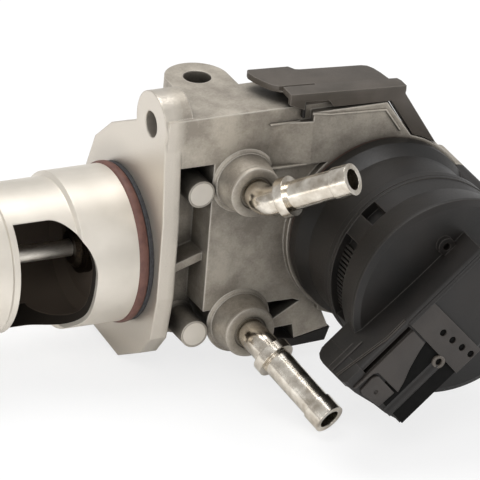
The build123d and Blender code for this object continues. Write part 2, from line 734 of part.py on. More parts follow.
with BuildPart() as housing:
    with BuildSketch(across_stem(0)):
        with BuildLine():
            Polyline(*flange_outline, close=True)
        make_face()
        with Locations((rear_ear_y, rear_ear_z)):
            Circle(rear_ear_radius)
    extrude(amount=flange_thickness)
    with BuildSketch(across_stem(0)):
        with Locations((ear_hole_y, ear_hole_z)):
            Circle(ear_radius)
    extrude(amount=ear_thickness)
    add(block(1, body_left + 1, neck_step - 1, neck_back, body_bottom, neck_high))
    add(block(1, body_left + 1, neck_front, neck_step, body_bottom, recess_top + 1))
    add(block(1, body_left + 16.3, body_front, ridge_back, recess_top, body_top))
    add(prism(neck_rib, neck_front + 1, neck_rib_front))
    add(prism(body_outline, ridge_back, body_front))
    add(prism(pad_outline, ridge_back, seat_plane_y))
    with BuildSketch(Plane.XY.offset(ledge_low)):
        with BuildLine():
            Polyline((ledge_left, body_front), (pad_left, seat_plane_y), (pad_left, body_front + 2),
                     (ledge_left, body_front + 2), close=True)
        make_face()
    extrude(amount=ledge_high - ledge_low)
    add(prism(web_outline, -12.0, web_step))
    add(prism(web_foot, web_step + 6.0, body_front))
    add(block(body_left, lid_left - face_gap, body_front + 1, neck_back, body_ledge, wall_back))
    add(block(lid_left - 1, lid_left + 2, body_front + 1, body_back, body_ledge, wall_back))
    add(block(lid_left, lid_right, cavity_front - 1, body_back, lid_low - 1, wall_back))
    add(disc(drum_x, drum_z, drum_seat_radius, seat_plane_y, -18.0))
    with BuildSketch(Plane.XY.offset(body_top)):
        with Locations((lug_x, lug_y)):
            Circle(lug_radius)
            with Locations((0, -lug_y / 2 - 4)):
                Rectangle(2 * lug_radius, lug_y + 8)
    extrude(amount=-lug_thickness)
    add(drum_ring(upper_boss_x, upper_boss_z, [
        (0, boss_end_y), (boss_end_radius, boss_end_y), (boss_base_radius, body_front), (boss_base_radius, -12), (0, -12)]))
    add(drum_ring(lower_boss_x, lower_boss_z, [
        (0, boss_end_y), (boss_end_radius, boss_end_y), (boss_base_radius, body_front), (boss_base_radius, -8), (0, -8)]))
    add(disc(upper_post_x, upper_post_z, post_radius, post_front, post_back))
    add(disc(lower_post_x, lower_post_z, post_radius, post_front, post_back))
    for spot in sleeve_spots:
        add(disc(*spot, drive_ear_radius, seat_plane_y, -15))
    # bores and cavities
    add(stem_ring([
        (-1, 0), (-1, root_radius + fit_gap), (root_length + fit_gap, root_radius + fit_gap),
        (root_length + fit_gap, guide_radius + fit_gap), (guide_end + seal_length + fit_gap, guide_radius + fit_gap),
        (guide_end + seal_length + fit_gap, stem_radius + 1), (spring_seat_x, stem_radius + 1),
        (spring_seat_x, spring_chamber_radius), (lid_left + cavity_inset + 1, spring_chamber_radius),
        (lid_left + cavity_inset + 1, 0)]), mode=Mode.SUBTRACT)
    with BuildSketch(across_drum(body_back + 1)):
        with Locations(((lid_left + lid_right) / 2, (lid_low + lid_high) / 2)):
            Rectangle(lid_right - lid_left - 2 * cavity_inset, lid_high - lid_low - 2 * cavity_inset)
        with Locations(*lid_screw_spots):
            Circle(lid_screw_post, mode=Mode.SUBTRACT)
    extrude(amount=body_back + 1 - cavity_front, mode=Mode.SUBTRACT)
    add(disc(shaft_x, 0, shaft_radius + 0.5, -deep, deep), mode=Mode.SUBTRACT)
    add(disc(shaft_x, 0, front_bearing_radius + fit_gap, bearing_front, cavity_front + 1), mode=Mode.SUBTRACT)
    add(disc(shaft_x, 0, front_bearing_radius + fit_gap, seat_plane_y - 1, seal_back), mode=Mode.SUBTRACT)
    for spot in lid_screw_spots:
        add(disc(*spot, lid_screw_radius + fit_gap, body_back - lid_screw_length - 1, body_back + 1), mode=Mode.SUBTRACT)
    for spot in sleeve_spots:
        add(disc(*spot, screw_radius + fit_gap, seat_plane_y - 1, seat_plane_y + screw_reach), mode=Mode.SUBTRACT)
    for x, z in ((upper_boss_x, upper_boss_z), (lower_boss_x, lower_boss_z)):
        add(disc(x, z, pipe_radius + fit_gap, boss_end_y - 1, boss_end_y + pipe_seat_depth), mode=Mode.SUBTRACT)
        add(disc(x, z, pipe_bore_radius, boss_end_y, gallery_y), mode=Mode.SUBTRACT)
    gallery_line = Line((upper_boss_x, gallery_y, upper_boss_z), (lower_boss_x, gallery_y, lower_boss_z))
    with BuildSketch(Plane(gallery_line @ 0, z_dir=gallery_line % 0)):
        Circle(gallery_radius)
    extrude(amount=gallery_line.length, mode=Mode.SUBTRACT)
    for x, z in ((upper_post_x, upper_post_z), (lower_post_x, lower_post_z)):
        add(disc(x, z, plug_radius + fit_gap, post_front - 1, post_front + plug_thickness), mode=Mode.SUBTRACT)
    for y, z, depth in ((ear_hole_y, ear_hole_z, ear_hole_depth), (rear_ear_y, rear_ear_z, ear_hole_depth)):
        with BuildSketch(across_stem(-1)):
            with Locations((y, z)):
                Circle(flange_hole_radius)
        extrude(amount=depth + 1, mode=Mode.SUBTRACT)
    with BuildSketch(Plane.XY.offset(body_top + 1)):
        with Locations((lug_x, lug_y)):
            Circle(lug_hole_radius)
    extrude(amount=-lug_thickness - 3, mode=Mode.SUBTRACT)
finish(housing.part, "housing")

# Core plugs in the two posts
with BuildPart() as core_plugs:
    for x, z in ((upper_post_x, upper_post_z), (lower_post_x, lower_post_z)):
        add(disc(x, z, plug_radius, post_front, post_front + plug_thickness - fit_gap))
finish(core_plugs.part, "core_plugs")


def coolant_pipe(x, z, direction, length):
    """Bent tube from its boss: straight out, an elbow, then a straight run with a collar and an end bead."""
    start = Vector(x, boss_end_y + pipe_seat_depth - fit_gap, z)
    corner = Vector(x, boss_end_y - pipe_elbow_out, z)
    run = direction.normalized()
    end = corner + run * length
    back = Vector(0, -1, 0)
    bend = back.get_angle(run)
    trim = pipe_bend_radius * sin(radians(bend / 2)) / cos(radians(bend / 2))
    first = corner - back * trim
    second = corner + run * trim
    with BuildPart() as pipe:
        with BuildLine() as path:
            Line(start, first)
            middle = TangentArc(first, second, tangent=back)
            Line(second, end)
        with BuildSketch(Plane(start, z_dir=back)):
            Circle(pipe_radius)
            Circle(pipe_bore_radius, mode=Mode.SUBTRACT)
        sweep(path=path.line)
        for where, radius, size in ((second + run * 3.0, collar_radius, collar_length),
                                    (end - run * bead_length, bead_radius, bead_length)):
            with BuildSketch(Plane(where, z_dir=run)):
                Circle(radius)
                Circle(pipe_radius - 0.5, mode=Mode.SUBTRACT)
            extrude(amount=size)
    return pipe.part


finish(coolant_pipe(upper_boss_x, upper_boss_z, upper_pipe_direction, upper_pipe_length), "upper_pipe")
finish(coolant_pipe(lower_boss_x, lower_boss_z, lower_pipe_direction, lower_pipe_length), "lower_pipe")

# Rear lid over the cam's cavity, its screws and the shaft's rear bush
lid_back = body_back + lid_thickness
with BuildPart() as rear_lid:
    with BuildSketch(across_drum(lid_back)):
        with Locations(((lid_left + lid_right) / 2, (lid_low + lid_high) / 2)):
            RectangleRounded(lid_right - lid_left, lid_high - lid_low, lid_corner)
    extrude(amount=lid_thickness)
    add(disc(shaft_x, 0, rear_bush_radius + bush_wall, bush_front, body_back + 1))
    add(disc(shaft_x, 0, rear_bush_radius + fit_gap, bush_front - 1, body_back), mode=Mode.SUBTRACT)
    for spot in lid_screw_spots:
        add(disc(*spot, lid_screw_radius + screw_room, body_back - 1, lid_back + 1), mode=Mode.SUBTRACT)
finish(rear_lid.part, "rear_lid")

with BuildPart() as lid_screws:
    for spot in lid_screw_spots:
        add(drum_ring(*spot, [
            (0, body_back - lid_screw_length), (lid_screw_radius, body_back - lid_screw_length),
            (lid_screw_radius, lid_back), (lid_screw_head, lid_back), (lid_screw_head, lid_back + 1.6),
            (lid_screw_head - 1.0, lid_back + 2.4), (0, lid_back + 2.4)]))
        add(disc(*spot, 1.2, lid_back + 1, lid_back + 3), mode=Mode.SUBTRACT)
finish(lid_screws.part, "lid_screws")

with BuildPart() as rear_bush:
    add(disc(shaft_x, 0, rear_bush_radius, bush_front, body_back - fit_gap, shaft_radius + running_gap))
finish(rear_bush.part, "rear_bush")

with BuildPart() as front_bearing:
    add(disc(shaft_x, 0, front_bearing_radius, bearing_front + fit_gap, cavity_front, shaft_radius + running_gap))
finish(front_bearing.part, "front_bearing")

with BuildPart() as shaft_seal:
    add(disc(shaft_x, 0, front_bearing_radius, seat_plane_y + 0.2, seal_back - fit_gap, shaft_radius + running_gap))
finish(shaft_seal.part, "shaft_seal")

# Gasket between the housing's seat and the drive base
with BuildPart() as drive_gasket:
    add(disc(drum_x, drum_z, drum_foot_radius - 0.4, base_start, seat_plane_y, drum_foot_radius - 5))
    for spot in sleeve_spots:
        add(disc(*spot, screw_radius + screw_room, -deep, -20), mode=Mode.SUBTRACT)
finish(drive_gasket.part, "drive_gasket")

# Drive base: open drum with a floor, collar and three fixing sleeves
collar_start = base_end + collar_band
with BuildPart() as drive_base:
    add(drum_ring(drum_x, drum_z, [
        (0, base_start), (drum_foot_radius, base_start), (drum_foot_radius, base_start - 4),
        (drum_radius, base_start - 10), (drum_radius, collar_start), (collar_radius_drum, collar_start),
        (collar_radius_drum, base_end), (drum_bore, base_end), (drum_bore, base_start - base_floor),
        (0, base_start - base_floor)]))
    for spot in sleeve_spots:
        add(disc(*spot, drive_ear_radius, base_end, base_start))
    add(disc(drum_x, drum_z, drum_bore, base_end - 1, base_start - base_floor), mode=Mode.SUBTRACT)
    for spot in sleeve_spots:
        add(disc(*spot, screw_radius + screw_room, -deep, -20), mode=Mode.SUBTRACT)
    add(disc(shaft_x, 0, shaft_radius + 1.5, -deep, -20), mode=Mode.SUBTRACT)
    add(disc(idler_x, idler_z, axle_radius + fit_gap, -deep, axle_back + fit_gap), mode=Mode.SUBTRACT)
finish(drive_base.part, "drive_base")

# Drive cover: band, groove with lands, flared rim, face with a hub, screw ears and connector block
groove_start_y = cover_start - cover_band
groove_end_y = groove_start_y - groove_band
rim_end = cover_end + cover_dome
toward = Vector(cos(radians(connector_direction)), 0, sin(radians(connector_direction)))
aside = Vector(cos(radians(connector_direction - 90)), 0, sin(radians(connector_direction - 90)))
connector_plane = Plane((drum_x, 0, drum_z), x_dir=toward, z_dir=(0, -1, 0))
front_plane = connector_plane.offset(-connector_front)
connector_middle = connector_front + connector_width / 2
inner_radius = cover_groove_radius - drum_wall
head_seat = cover_start - drive_ear_length
rib_tube_centre = Vector(drum_x, connector_front + 1.2, drum_z) + aside * rib_tube_offset
with BuildPart() as connector_block:
    with BuildSketch(front_plane):
        with Locations(((connector_start + connector_mouth) / 2, -connector_offset)):
            Rectangle(connector_mouth - connector_start, connector_thickness)
    extrude(amount=-connector_width)
    long_edges = connector_block.edges().filter_by(Axis((0, 0, 0), toward)).sort_by(Axis.Y)
    fillet(long_edges[:2], connector_round)
    with BuildSketch(Plane(rib_tube_centre + toward * rib_tube_start, z_dir=toward)):
        Circle(rib_tube_radius)
    extrude(amount=connector_mouth + 1 - rib_tube_start)
with BuildPart() as drive_cover:
    add(drum_ring(drum_x, drum_z, [
        (0, cover_end), (12.0, cover_end), (cover_front_radius - 2.0, rim_end - 1.5), (cover_front_radius, rim_end - 0.3),
        (cover_front_radius, rim_end + 1.0), (cover_waist_radius, groove_end_y), (cover_groove_radius, groove_end_y),
        (cover_groove_radius, groove_start_y), (collar_radius_drum, groove_start_y), (collar_radius_drum, cover_start),
        (0, cover_start)]))
    for low, high in ((-60.0, 125.0), (205.0, 300.0), (136.0, 150.0)):
        with BuildSketch(across_drum(groove_start_y + 1)):
            with Locations((drum_x, drum_z)):
                Circle(collar_radius_drum - 0.3)
            steps = [radians(low + (high - low) * step / 6) for step in range(7)]
            with BuildLine():
                Polyline((drum_x, drum_z), *[(drum_x + 50 * cos(step), drum_z + 50 * sin(step)) for step in steps],
                         close=True)
            make_face(mode=Mode.INTERSECT)
        extrude(amount=groove_band + 2)
    for spot in sleeve_spots:
        add(disc(*spot, drive_ear_radius, head_seat, cover_start))
    add(connector_block.part)
    add(disc(hub_x, hub_z, hub_radius, cover_end - 1.2, cover_end + 2.5))
    add(disc(hub_x, hub_z, hub_hole_radius, cover_end - 2, cover_end + 1.5), mode=Mode.SUBTRACT)
    add(disc(drum_x, drum_z, inner_radius, rim_end + 1.6, cover_start + 1), mode=Mode.SUBTRACT)
    with BuildSketch(Plane(Vector(drum_x, connector_middle, drum_z) + toward * connector_mouth + aside * socket_offset,
                           x_dir=(0, 1, 0), z_dir=-toward)):
        Rectangle(connector_width - 2 * connector_wall, socket_thickness)
    extrude(amount=connector_depth, mode=Mode.SUBTRACT)
    with BuildSketch(Plane(rib_tube_centre + toward * (connector_mouth + 2), z_dir=-toward)):
        Circle(rib_tube_bore)
    extrude(amount=10, mode=Mode.SUBTRACT)
    with BuildSketch(front_plane):
        with Locations(((side_slot_start + connector_mouth + 1) / 2, -side_slot_offset)):
            Rectangle(connector_mouth + 1 - side_slot_start, side_slot_width)
        for offset in vent_offsets:
            with Locations((vent_start, -offset)):
                Circle(vent_radius)
    extrude(amount=-side_slot_depth, mode=Mode.SUBTRACT)
    for spot in sleeve_spots:
        add(disc(*spot, screw_radius + screw_room, head_seat - 1, -20), mode=Mode.SUBTRACT)
        add(disc(*spot, screw_head_radius + head_room, cover_end - 1, head_seat), mode=Mode.SUBTRACT)
finish(drive_cover.part, "drive_cover")

# Connector pins in the socket
with BuildPart() as connector_pins:
    for number in range(pin_count):
        across = socket_offset + (number - (pin_count - 1) / 2) * pin_pitch
        pin_root = Vector(drum_x, connector_middle, drum_z) + toward * (connector_mouth - connector_depth) + aside * across
        with BuildSketch(Plane(pin_root, x_dir=(0, 1, 0), z_dir=toward)):
            Rectangle(1.6, 0.8)
        extrude(amount=pin_length)
finish(connector_pins.part, "connector_pins")

# Seal in the seam between base and cover
with BuildPart() as cover_seal:
    add(disc(drum_x, drum_z, drum_bore + 1.8, cover_start, base_end, drum_bore + 0.2))
finish(cover_seal.part, "cover_seal")

# Drive screws
with BuildPart() as drive_screws:
    for spot in sleeve_spots:
        add(drum_ring(*spot, [
            (0, head_seat - screw_head_length), (screw_head_radius - 0.5, head_seat - screw_head_length),
            (screw_head_radius, head_seat - screw_head_length + 0.5), (screw_head_radius, head_seat),
            (screw_radius, head_seat), (screw_radius, seat_plane_y + screw_reach - 1),
            (0, seat_plane_y + screw_reach - 1)]))
        add(disc(*spot, socket_radius, head_seat - screw_head_length - 1, head_seat - 1), mode=Mode.SUBTRACT)
finish(drive_screws.part, "drive_screws")

# Plastic cap over the ridge with a skirt in front, and a strip under the gusset
with BuildPart() as top_cap:
    add(prism([
        (cap_left, body_top + face_gap), (cap_left, body_top + 2.4), (cap_crest_x, cap_crest), (cap_right, cap_right_top),
        (cap_right + 3.6, cap_right_top - 2.4), (cap_slope_end_x, cap_slope_end_z), (98.9, cap_slope_end_z),
        (91.4, 39.2), (shoulder_x + 0.5, body_top - 1.8), (shoulder_x - 1.8, body_top + face_gap)], cap_back, cap_front))
    add(block(skirt_left, skirt_right, cap_front, body_front - face_gap, skirt_low, body_top + 1))
    for spot in sleeve_spots:
        add(disc(*spot, drive_ear_radius + 0.3, -40, -14), mode=Mode.SUBTRACT)
    add(disc(drum_x, drum_z, drum_seat_radius + 0.3, -40, -17.7), mode=Mode.SUBTRACT)
finish(top_cap.part, "top_cap")

with BuildPart() as lower_cap:
    add(prism([(41.9, -31.8), (50.5, -34.0), (65.0, -33.2), (66.6, -28.5), (53.5, -31.1), (43.0, -29.0)],
              -12.0, body_front))
finish(lower_cap.part, "lower_cap")
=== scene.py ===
import bpy
import bmesh
import math
from mathutils import Matrix, Vector


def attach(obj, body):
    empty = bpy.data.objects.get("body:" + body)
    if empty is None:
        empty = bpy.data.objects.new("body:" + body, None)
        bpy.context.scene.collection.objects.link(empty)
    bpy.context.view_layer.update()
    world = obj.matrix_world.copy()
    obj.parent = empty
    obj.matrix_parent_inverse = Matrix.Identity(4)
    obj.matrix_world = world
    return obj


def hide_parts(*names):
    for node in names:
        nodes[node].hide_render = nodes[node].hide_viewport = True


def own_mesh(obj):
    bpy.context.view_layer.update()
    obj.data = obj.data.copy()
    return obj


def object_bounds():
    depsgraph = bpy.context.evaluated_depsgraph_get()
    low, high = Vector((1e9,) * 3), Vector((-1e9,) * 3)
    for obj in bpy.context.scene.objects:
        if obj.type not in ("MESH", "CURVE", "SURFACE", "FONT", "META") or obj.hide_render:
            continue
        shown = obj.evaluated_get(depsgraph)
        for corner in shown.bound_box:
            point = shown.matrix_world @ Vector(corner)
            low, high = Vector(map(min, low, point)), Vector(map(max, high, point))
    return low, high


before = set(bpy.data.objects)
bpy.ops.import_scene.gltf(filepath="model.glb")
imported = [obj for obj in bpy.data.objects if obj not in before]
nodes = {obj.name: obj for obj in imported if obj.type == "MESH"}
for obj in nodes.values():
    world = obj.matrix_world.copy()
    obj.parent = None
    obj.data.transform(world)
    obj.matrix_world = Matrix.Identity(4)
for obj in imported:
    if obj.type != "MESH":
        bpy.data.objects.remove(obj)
cadBox = [list(corner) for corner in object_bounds()]
mm = 0.001  # sizes of pieces and finishes are in millimetres, the scene is in metres
softSpread = (0.35, 0.65)  # where a finish's pattern turns from its dark to its light shade
print("frame loaded,", len(nodes), "nodes")


# sRGB hex code to the linear colour that shader sockets take
def linear(code):
    parts = [int(code[i:i + 2], 16) / 255 for i in (1, 3, 5)]
    return tuple(p / 12.92 if p <= 0.04045 else ((p + 0.055) / 1.055) ** 2.4 for p in parts) + (1.0,)


# Adds one node: settings name sockets or properties, stops fill a colour ramp, links feed its sockets
def addNode(tree, kind, settings=None, links=None):
    node = tree.nodes.new(kind)
    for key, value in (settings or {}).items():
        if key == "stops":
            for element, (position, code) in zip(node.color_ramp.elements, value):
                element.position = position
                element.color = linear(code)
        elif isinstance(key, int) or key in node.inputs:
            node.inputs[key].default_value = value
        else:
            setattr(node, key, value)
    for key, source in (links or {}).items():
        tree.links.new(source, node.inputs[key])
    return node


# Every finish starts from one shader and the piece's own coordinates
def startFinish(name, settings):
    material = bpy.data.materials.new(name)
    material.use_nodes = True
    tree = material.node_tree
    tree.nodes.clear()
    shader = addNode(tree, "ShaderNodeBsdfPrincipled", settings)
    addNode(tree, "ShaderNodeOutputMaterial", links={"Surface": shader.outputs[0]})
    place = addNode(tree, "ShaderNodeTexCoord").outputs["Object"]
    return material, tree, shader, place


# Spots of the look's own size, and the colour that drifts over them from its dark to its light shade
def cloudSkin(tree, place, look):
    spots = addNode(tree, "ShaderNodeTexNoise", {"Scale": 1 / (look["spot"] * mm), "Detail": look["detail"]},
                    {"Vector": place}).outputs["Fac"]
    low, high = look.get("spread", softSpread)
    skin = addNode(tree, "ShaderNodeValToRGB", {"stops": [(low, look["dark"]), (high, look["light"])]},
                   {"Fac": spots}).outputs["Color"]
    return spots, skin


# Gloss that follows a pattern, between the look's two roughnesses
def varyGloss(tree, shader, pattern, look):
    smooth, dull = look["rough"]
    rough = addNode(tree, "ShaderNodeMapRange", {"To Min": smooth, "To Max": dull}, {"Value": pattern}).outputs[0]
    tree.links.new(rough, shader.inputs["Roughness"])


# Broken edges: rounds the light on sharp edges, adds the surface's bump, and returns how worn each point is
edgeWear = {"samples": 6, "flat": 0.985, "worn": 0.88}
def breakEdges(tree, shader, height, look):
    rounded = addNode(tree, "ShaderNodeBevel", {"samples": edgeWear["samples"], "Radius": look["edge"] * mm}).outputs[0]
    bump = addNode(tree, "ShaderNodeBump", {"Strength": look.get("bump", 1.0), "Distance": look["depth"] * mm},
                   {"Height": height, "Normal": rounded})
    tree.links.new(bump.outputs[0], shader.inputs["Normal"])
    flat = addNode(tree, "ShaderNodeNewGeometry").outputs["Normal"]
    facing = addNode(tree, "ShaderNodeVectorMath", {"operation": "DOT_PRODUCT"}, {0: rounded, 1: flat})
    return addNode(tree, "ShaderNodeMapRange", {"From Min": edgeWear["flat"], "From Max": edgeWear["worn"]},
                   {"Value": facing.outputs["Value"]}).outputs[0]


# Die cast aluminium, as cast: grey and matt with fine pits, cloudy, brighter on rubbed edges, painted shade in corners,
# and bright where the flange was faced by a cutter, the brightness carried on over the flange's side as painted light
castLook = {"shader": {"Metallic": 0.7, "Roughness": 0.5}, "dark": "#989085", "light": "#c0b8ab",
            # The machined shade covers the faced flange and, as painted light, its side as well
            "spread": (0.55, 0.85), "rubbed": "#cdc6bb", "machinedAndLit": "#d0c8bc",
            "pit": 0.8, "pitRoughness": 0.7, "pitShare": 0.4,
            "cloud": 11.0, "cloudRoughness": 0.6, "detail": 5.0, "edge": 0.9, "depth": 0.09,
            "facedTo": 3.5, "castFrom": 7.5, "faceLiftsShade": 0.8, "polish": -0.2, "rough": (0.42, 0.6),
            # The last keys give the painted shade in the corners: how dark, over what reach and with how many samples
            "paintedShade": 0.2, "paintedShadeReach": 11.0, "paintedShadeSamples": 6, "closed": 0.25, "open": 0.95}
def makeCastAluminium():
    look = castLook
    material, tree, shader, place = startFinish("castAluminium", look["shader"])
    pits = addNode(tree, "ShaderNodeTexNoise", {"Scale": 1 / (look["pit"] * mm), "Detail": look["detail"],
                                                "Roughness": look["pitRoughness"]}, {"Vector": place}).outputs["Fac"]
    cloud = addNode(tree, "ShaderNodeTexNoise", {"Scale": 1 / (look["cloud"] * mm), "Detail": look["detail"],
                                                 "Roughness": look["cloudRoughness"]}, {"Vector": place}).outputs["Fac"]
    both = addNode(tree, "ShaderNodeMath", {"operation": "MULTIPLY_ADD", 1: look["pitShare"]},
                   {0: pits, 2: cloud}).outputs[0]
    low, high = look["spread"]
    skin = addNode(tree, "ShaderNodeValToRGB", {"stops": [(low, look["dark"]), (high, look["light"])]},
                   {"Fac": both}).outputs["Color"]
    worn = breakEdges(tree, shader, pits, look)
    rubbed = addNode(tree, "ShaderNodeMix", {"data_type": "RGBA", 7: linear(look["rubbed"])},
                     {0: worn, 6: skin}).outputs[2]
    # Real facing on the flange's face; the band carries on over the flange's shaded side as painted light
    split = addNode(tree, "ShaderNodeSeparateXYZ", links={"Vector": place})
    facedAndLit = addNode(tree, "ShaderNodeMapRange", {"From Min": look["castFrom"] * mm, "From Max": look["facedTo"] * mm},
                    {"Value": split.outputs["X"]}).outputs[0]
    clean = addNode(tree, "ShaderNodeMix", {"data_type": "RGBA", 7: linear(look["machinedAndLit"])},
                    {0: facedAndLit, 6: rubbed}).outputs[2]
    # Painted shade: the colour darkens where occlusion finds corners and recesses close by, and is lifted on the faced
    # band
    corner = addNode(tree, "ShaderNodeAmbientOcclusion",
                     {"samples": look["paintedShadeSamples"], "Distance": look["paintedShadeReach"] * mm}).outputs["AO"]
    shade = addNode(tree, "ShaderNodeMapRange", {"From Min": look["closed"], "From Max": look["open"],
                                                 "To Min": look["paintedShade"]}, {"Value": corner}).outputs[0]
    faceLiftsShade = addNode(tree, "ShaderNodeMath", {"operation": "MULTIPLY", 1: look["faceLiftsShade"]}, {0: facedAndLit}).outputs[0]
    kept = addNode(tree, "ShaderNodeMath", {"operation": "MAXIMUM"}, {0: shade, 1: faceLiftsShade}).outputs[0]
    shaded = addNode(tree, "ShaderNodeVectorMath", {"operation": "SCALE"}, {0: clean, "Scale": kept}).outputs[0]
    tree.links.new(shaded, shader.inputs["Base Color"])
    smooth, dull = look["rough"]
    rough = addNode(tree, "ShaderNodeMapRange", {"To Min": smooth, "To Max": dull}, {"Value": pits}).outputs[0]
    cut = addNode(tree, "ShaderNodeMath", {"operation": "MULTIPLY_ADD", 1: look["polish"]},
                  {0: facedAndLit, 2: rough}).outputs[0]
    tree.links.new(cut, shader.inputs["Roughness"])
    return material


# Turned aluminium: pale and bright with fine rings round the stem from the lathe tool, black with soot inside, and
# darker on the window's cut faces.
# The rings are drawn coarser than the real feed, which would not show
turnedLook = {"shader": {"Metallic": 0.6, "Roughness": 0.4}, "dark": "#d6cfc3", "light": "#e6dfd4",
              "spread": (0.25, 0.75), "spot": 14.0, "detail": 3.0, "soot": "#655a4f", "cutFaceDark": "#2c2620",
              "feed": 0.5, "wander": 0.4, "wavePeriod": 0.314,  # a wave texture of scale 1 repeats over this length
              "bore": 22.15, "floorAt": -12.9, "wallRadius": 24.95, "wallFrom": -62.0, "rough": (0.38, 0.46),
              "sootDull": 0.45, "edge": 0.35, "depth": 0.008, "bump": 0.6}
def makeTurnedAluminium():
    look = turnedLook
    material, tree, shader, place = startFinish("turnedAluminium", look["shader"])
    cloud, metal = cloudSkin(tree, place, look)
    rings = addNode(tree, "ShaderNodeTexWave", {"wave_type": "BANDS", "bands_direction": "X",
                                                "Distortion": look["wander"],
                                                "Scale": look["wavePeriod"] / (look["feed"] * mm), "Detail": 1.0},
                    {"Vector": place}).outputs["Fac"]
    split = addNode(tree, "ShaderNodeSeparateXYZ", links={"Vector": place})
    along = split.outputs["X"]
    across = addNode(tree, "ShaderNodeCombineXYZ", links={"Y": split.outputs["Y"], "Z": split.outputs["Z"]}).outputs[0]
    radius = addNode(tree, "ShaderNodeVectorMath", {"operation": "LENGTH"}, {0: across}).outputs["Value"]
    inside = addNode(tree, "ShaderNodeMath", {"operation": "LESS_THAN", 1: look["bore"] * mm}, {0: radius}).outputs[0]
    deep = addNode(tree, "ShaderNodeMath", {"operation": "LESS_THAN", 1: look["floorAt"] * mm}, {0: along}).outputs[0]
    sooty = addNode(tree, "ShaderNodeMath", {"operation": "MULTIPLY"}, {0: inside, 1: deep}).outputs[0]
    # Darker on the cut faces of the wall inside the window
    wall = addNode(tree, "ShaderNodeMath", {"operation": "LESS_THAN", 1: look["wallRadius"] * mm},
                   {0: radius}).outputs[0]
    past = addNode(tree, "ShaderNodeMath", {"operation": "GREATER_THAN", 1: look["wallFrom"] * mm},
                   {0: along}).outputs[0]
    within = addNode(tree, "ShaderNodeMath", {"operation": "MULTIPLY"}, {0: past, 1: deep}).outputs[0]
    cutFace = addNode(tree, "ShaderNodeMath", {"operation": "MULTIPLY"}, {0: wall, 1: within}).outputs[0]
    cutFaceDark = addNode(tree, "ShaderNodeMix", {"data_type": "RGBA", 7: linear(look["cutFaceDark"])},
                    {0: cutFace, 6: metal}).outputs[2]
    coloured = addNode(tree, "ShaderNodeMix", {"data_type": "RGBA", 7: linear(look["soot"])},
                       {0: sooty, 6: cutFaceDark}).outputs[2]
    tree.links.new(coloured, shader.inputs["Base Color"])
    smooth, dull = look["rough"]
    rough = addNode(tree, "ShaderNodeMapRange", {"To Min": smooth, "To Max": dull}, {"Value": cloud}).outputs[0]
    sootAndCutFace = addNode(tree, "ShaderNodeMath", {"operation": "MAXIMUM"}, {0: sooty, 1: cutFace}).outputs[0]
    matt = addNode(tree, "ShaderNodeMath", {"operation": "MULTIPLY_ADD", 1: look["sootDull"]},
                   {0: sootAndCutFace, 2: rough}).outputs[0]
    tree.links.new(matt, shader.inputs["Roughness"])
    breakEdges(tree, shader, rings, look)
    return material


# Nickel plated steel tube: near mirror with a warm cast, faint draw lines and dulled patches
platedLook = {"shader": {"Metallic": 1.0, "Roughness": 0.16}, "dark": "#bdb3a4", "light": "#efe8dc", "spot": 5.0,
              "detail": 3.0, "line": 0.6, "lineDetail": 2.0, "rough": (0.12, 0.28), "edge": 0.3, "depth": 0.008,
              "bump": 0.5}
def makePlatedSteel():
    look = platedLook
    material, tree, shader, place = startFinish("platedSteel", look["shader"])
    patches, metal = cloudSkin(tree, place, look)
    tree.links.new(metal, shader.inputs["Base Color"])
    varyGloss(tree, shader, patches, look)
    lines = addNode(tree, "ShaderNodeTexNoise", {"Scale": 1 / (look["line"] * mm), "Detail": look["lineDetail"]},
                    {"Vector": place}).outputs["Fac"]
    breakEdges(tree, shader, lines, look)
    return material


# Ground stainless steel: clean grey metal with a brushed sheen along the stem
groundLook = {"shader": {"Metallic": 1.0, "Roughness": 0.28}, "dark": "#d6d0c5", "light": "#efe9df", "spot": 2.0,
              "detail": 2.0, "stretch": 8.0, "rough": (0.28, 0.46), "edge": 0.2, "depth": 0.006, "bump": 0.5}
def makeGroundSteel():
    look = groundLook
    material, tree, shader, place = startFinish("groundSteel", look["shader"])
    drawn = addNode(tree, "ShaderNodeMapping", {"Scale": (1.0, look["stretch"], look["stretch"])},
                    {"Vector": place}).outputs[0]
    lines, metal = cloudSkin(tree, drawn, look)
    tree.links.new(metal, shader.inputs["Base Color"])
    varyGloss(tree, shader, lines, look)
    breakEdges(tree, shader, lines, look)
    return material


# Glass filled nylon, moulded in a spark eroded tool: a brown cast, leather-like grain and a dull sheen, pale on rubbed
# edges. The cover's is near black, the cap's is weathered grey, and the socket's front a lighter black, painted light
nylonShared = {"shader": {"Roughness": 0.46, "IOR": 1.5, "Specular IOR Level": 0.42}, "detail": 4.0, "grain": 0.6,
               "grainDetail": 4.0, "grainRoughness": 0.6, "rough": (0.36, 0.6), "edge": 0.45, "depth": 0.04}
nylonLooks = {"blackNylon": {"dark": "#0f0d0b", "light": "#1c1815", "rubbed": "#35302b", "spot": 16.0},
              "greyNylon": {"dark": "#464039", "light": "#544d46", "rubbed": "#7d766e", "spot": 12.0},
              # The socket's front: the cover's black nylon made lighter, as painted light
              "litPlugNylon": {"dark": "#2b2724", "light": "#36312d", "rubbed": "#4d4741", "spot": 12.0}}
def makeNylon(name):
    look = {**nylonShared, **nylonLooks[name]}
    material, tree, shader, place = startFinish(name, look["shader"])
    grain = addNode(tree, "ShaderNodeTexNoise", {"Scale": 1 / (look["grain"] * mm), "Detail": look["grainDetail"],
                                                 "Roughness": look["grainRoughness"]}, {"Vector": place}).outputs["Fac"]
    skin = cloudSkin(tree, place, look)[1]
    worn = breakEdges(tree, shader, grain, look)
    rubbed = addNode(tree, "ShaderNodeMix", {"data_type": "RGBA", 7: linear(look["rubbed"])},
                     {0: worn, 6: skin}).outputs[2]
    tree.links.new(rubbed, shader.inputs["Base Color"])
    varyGloss(tree, shader, grain, look)
    return material


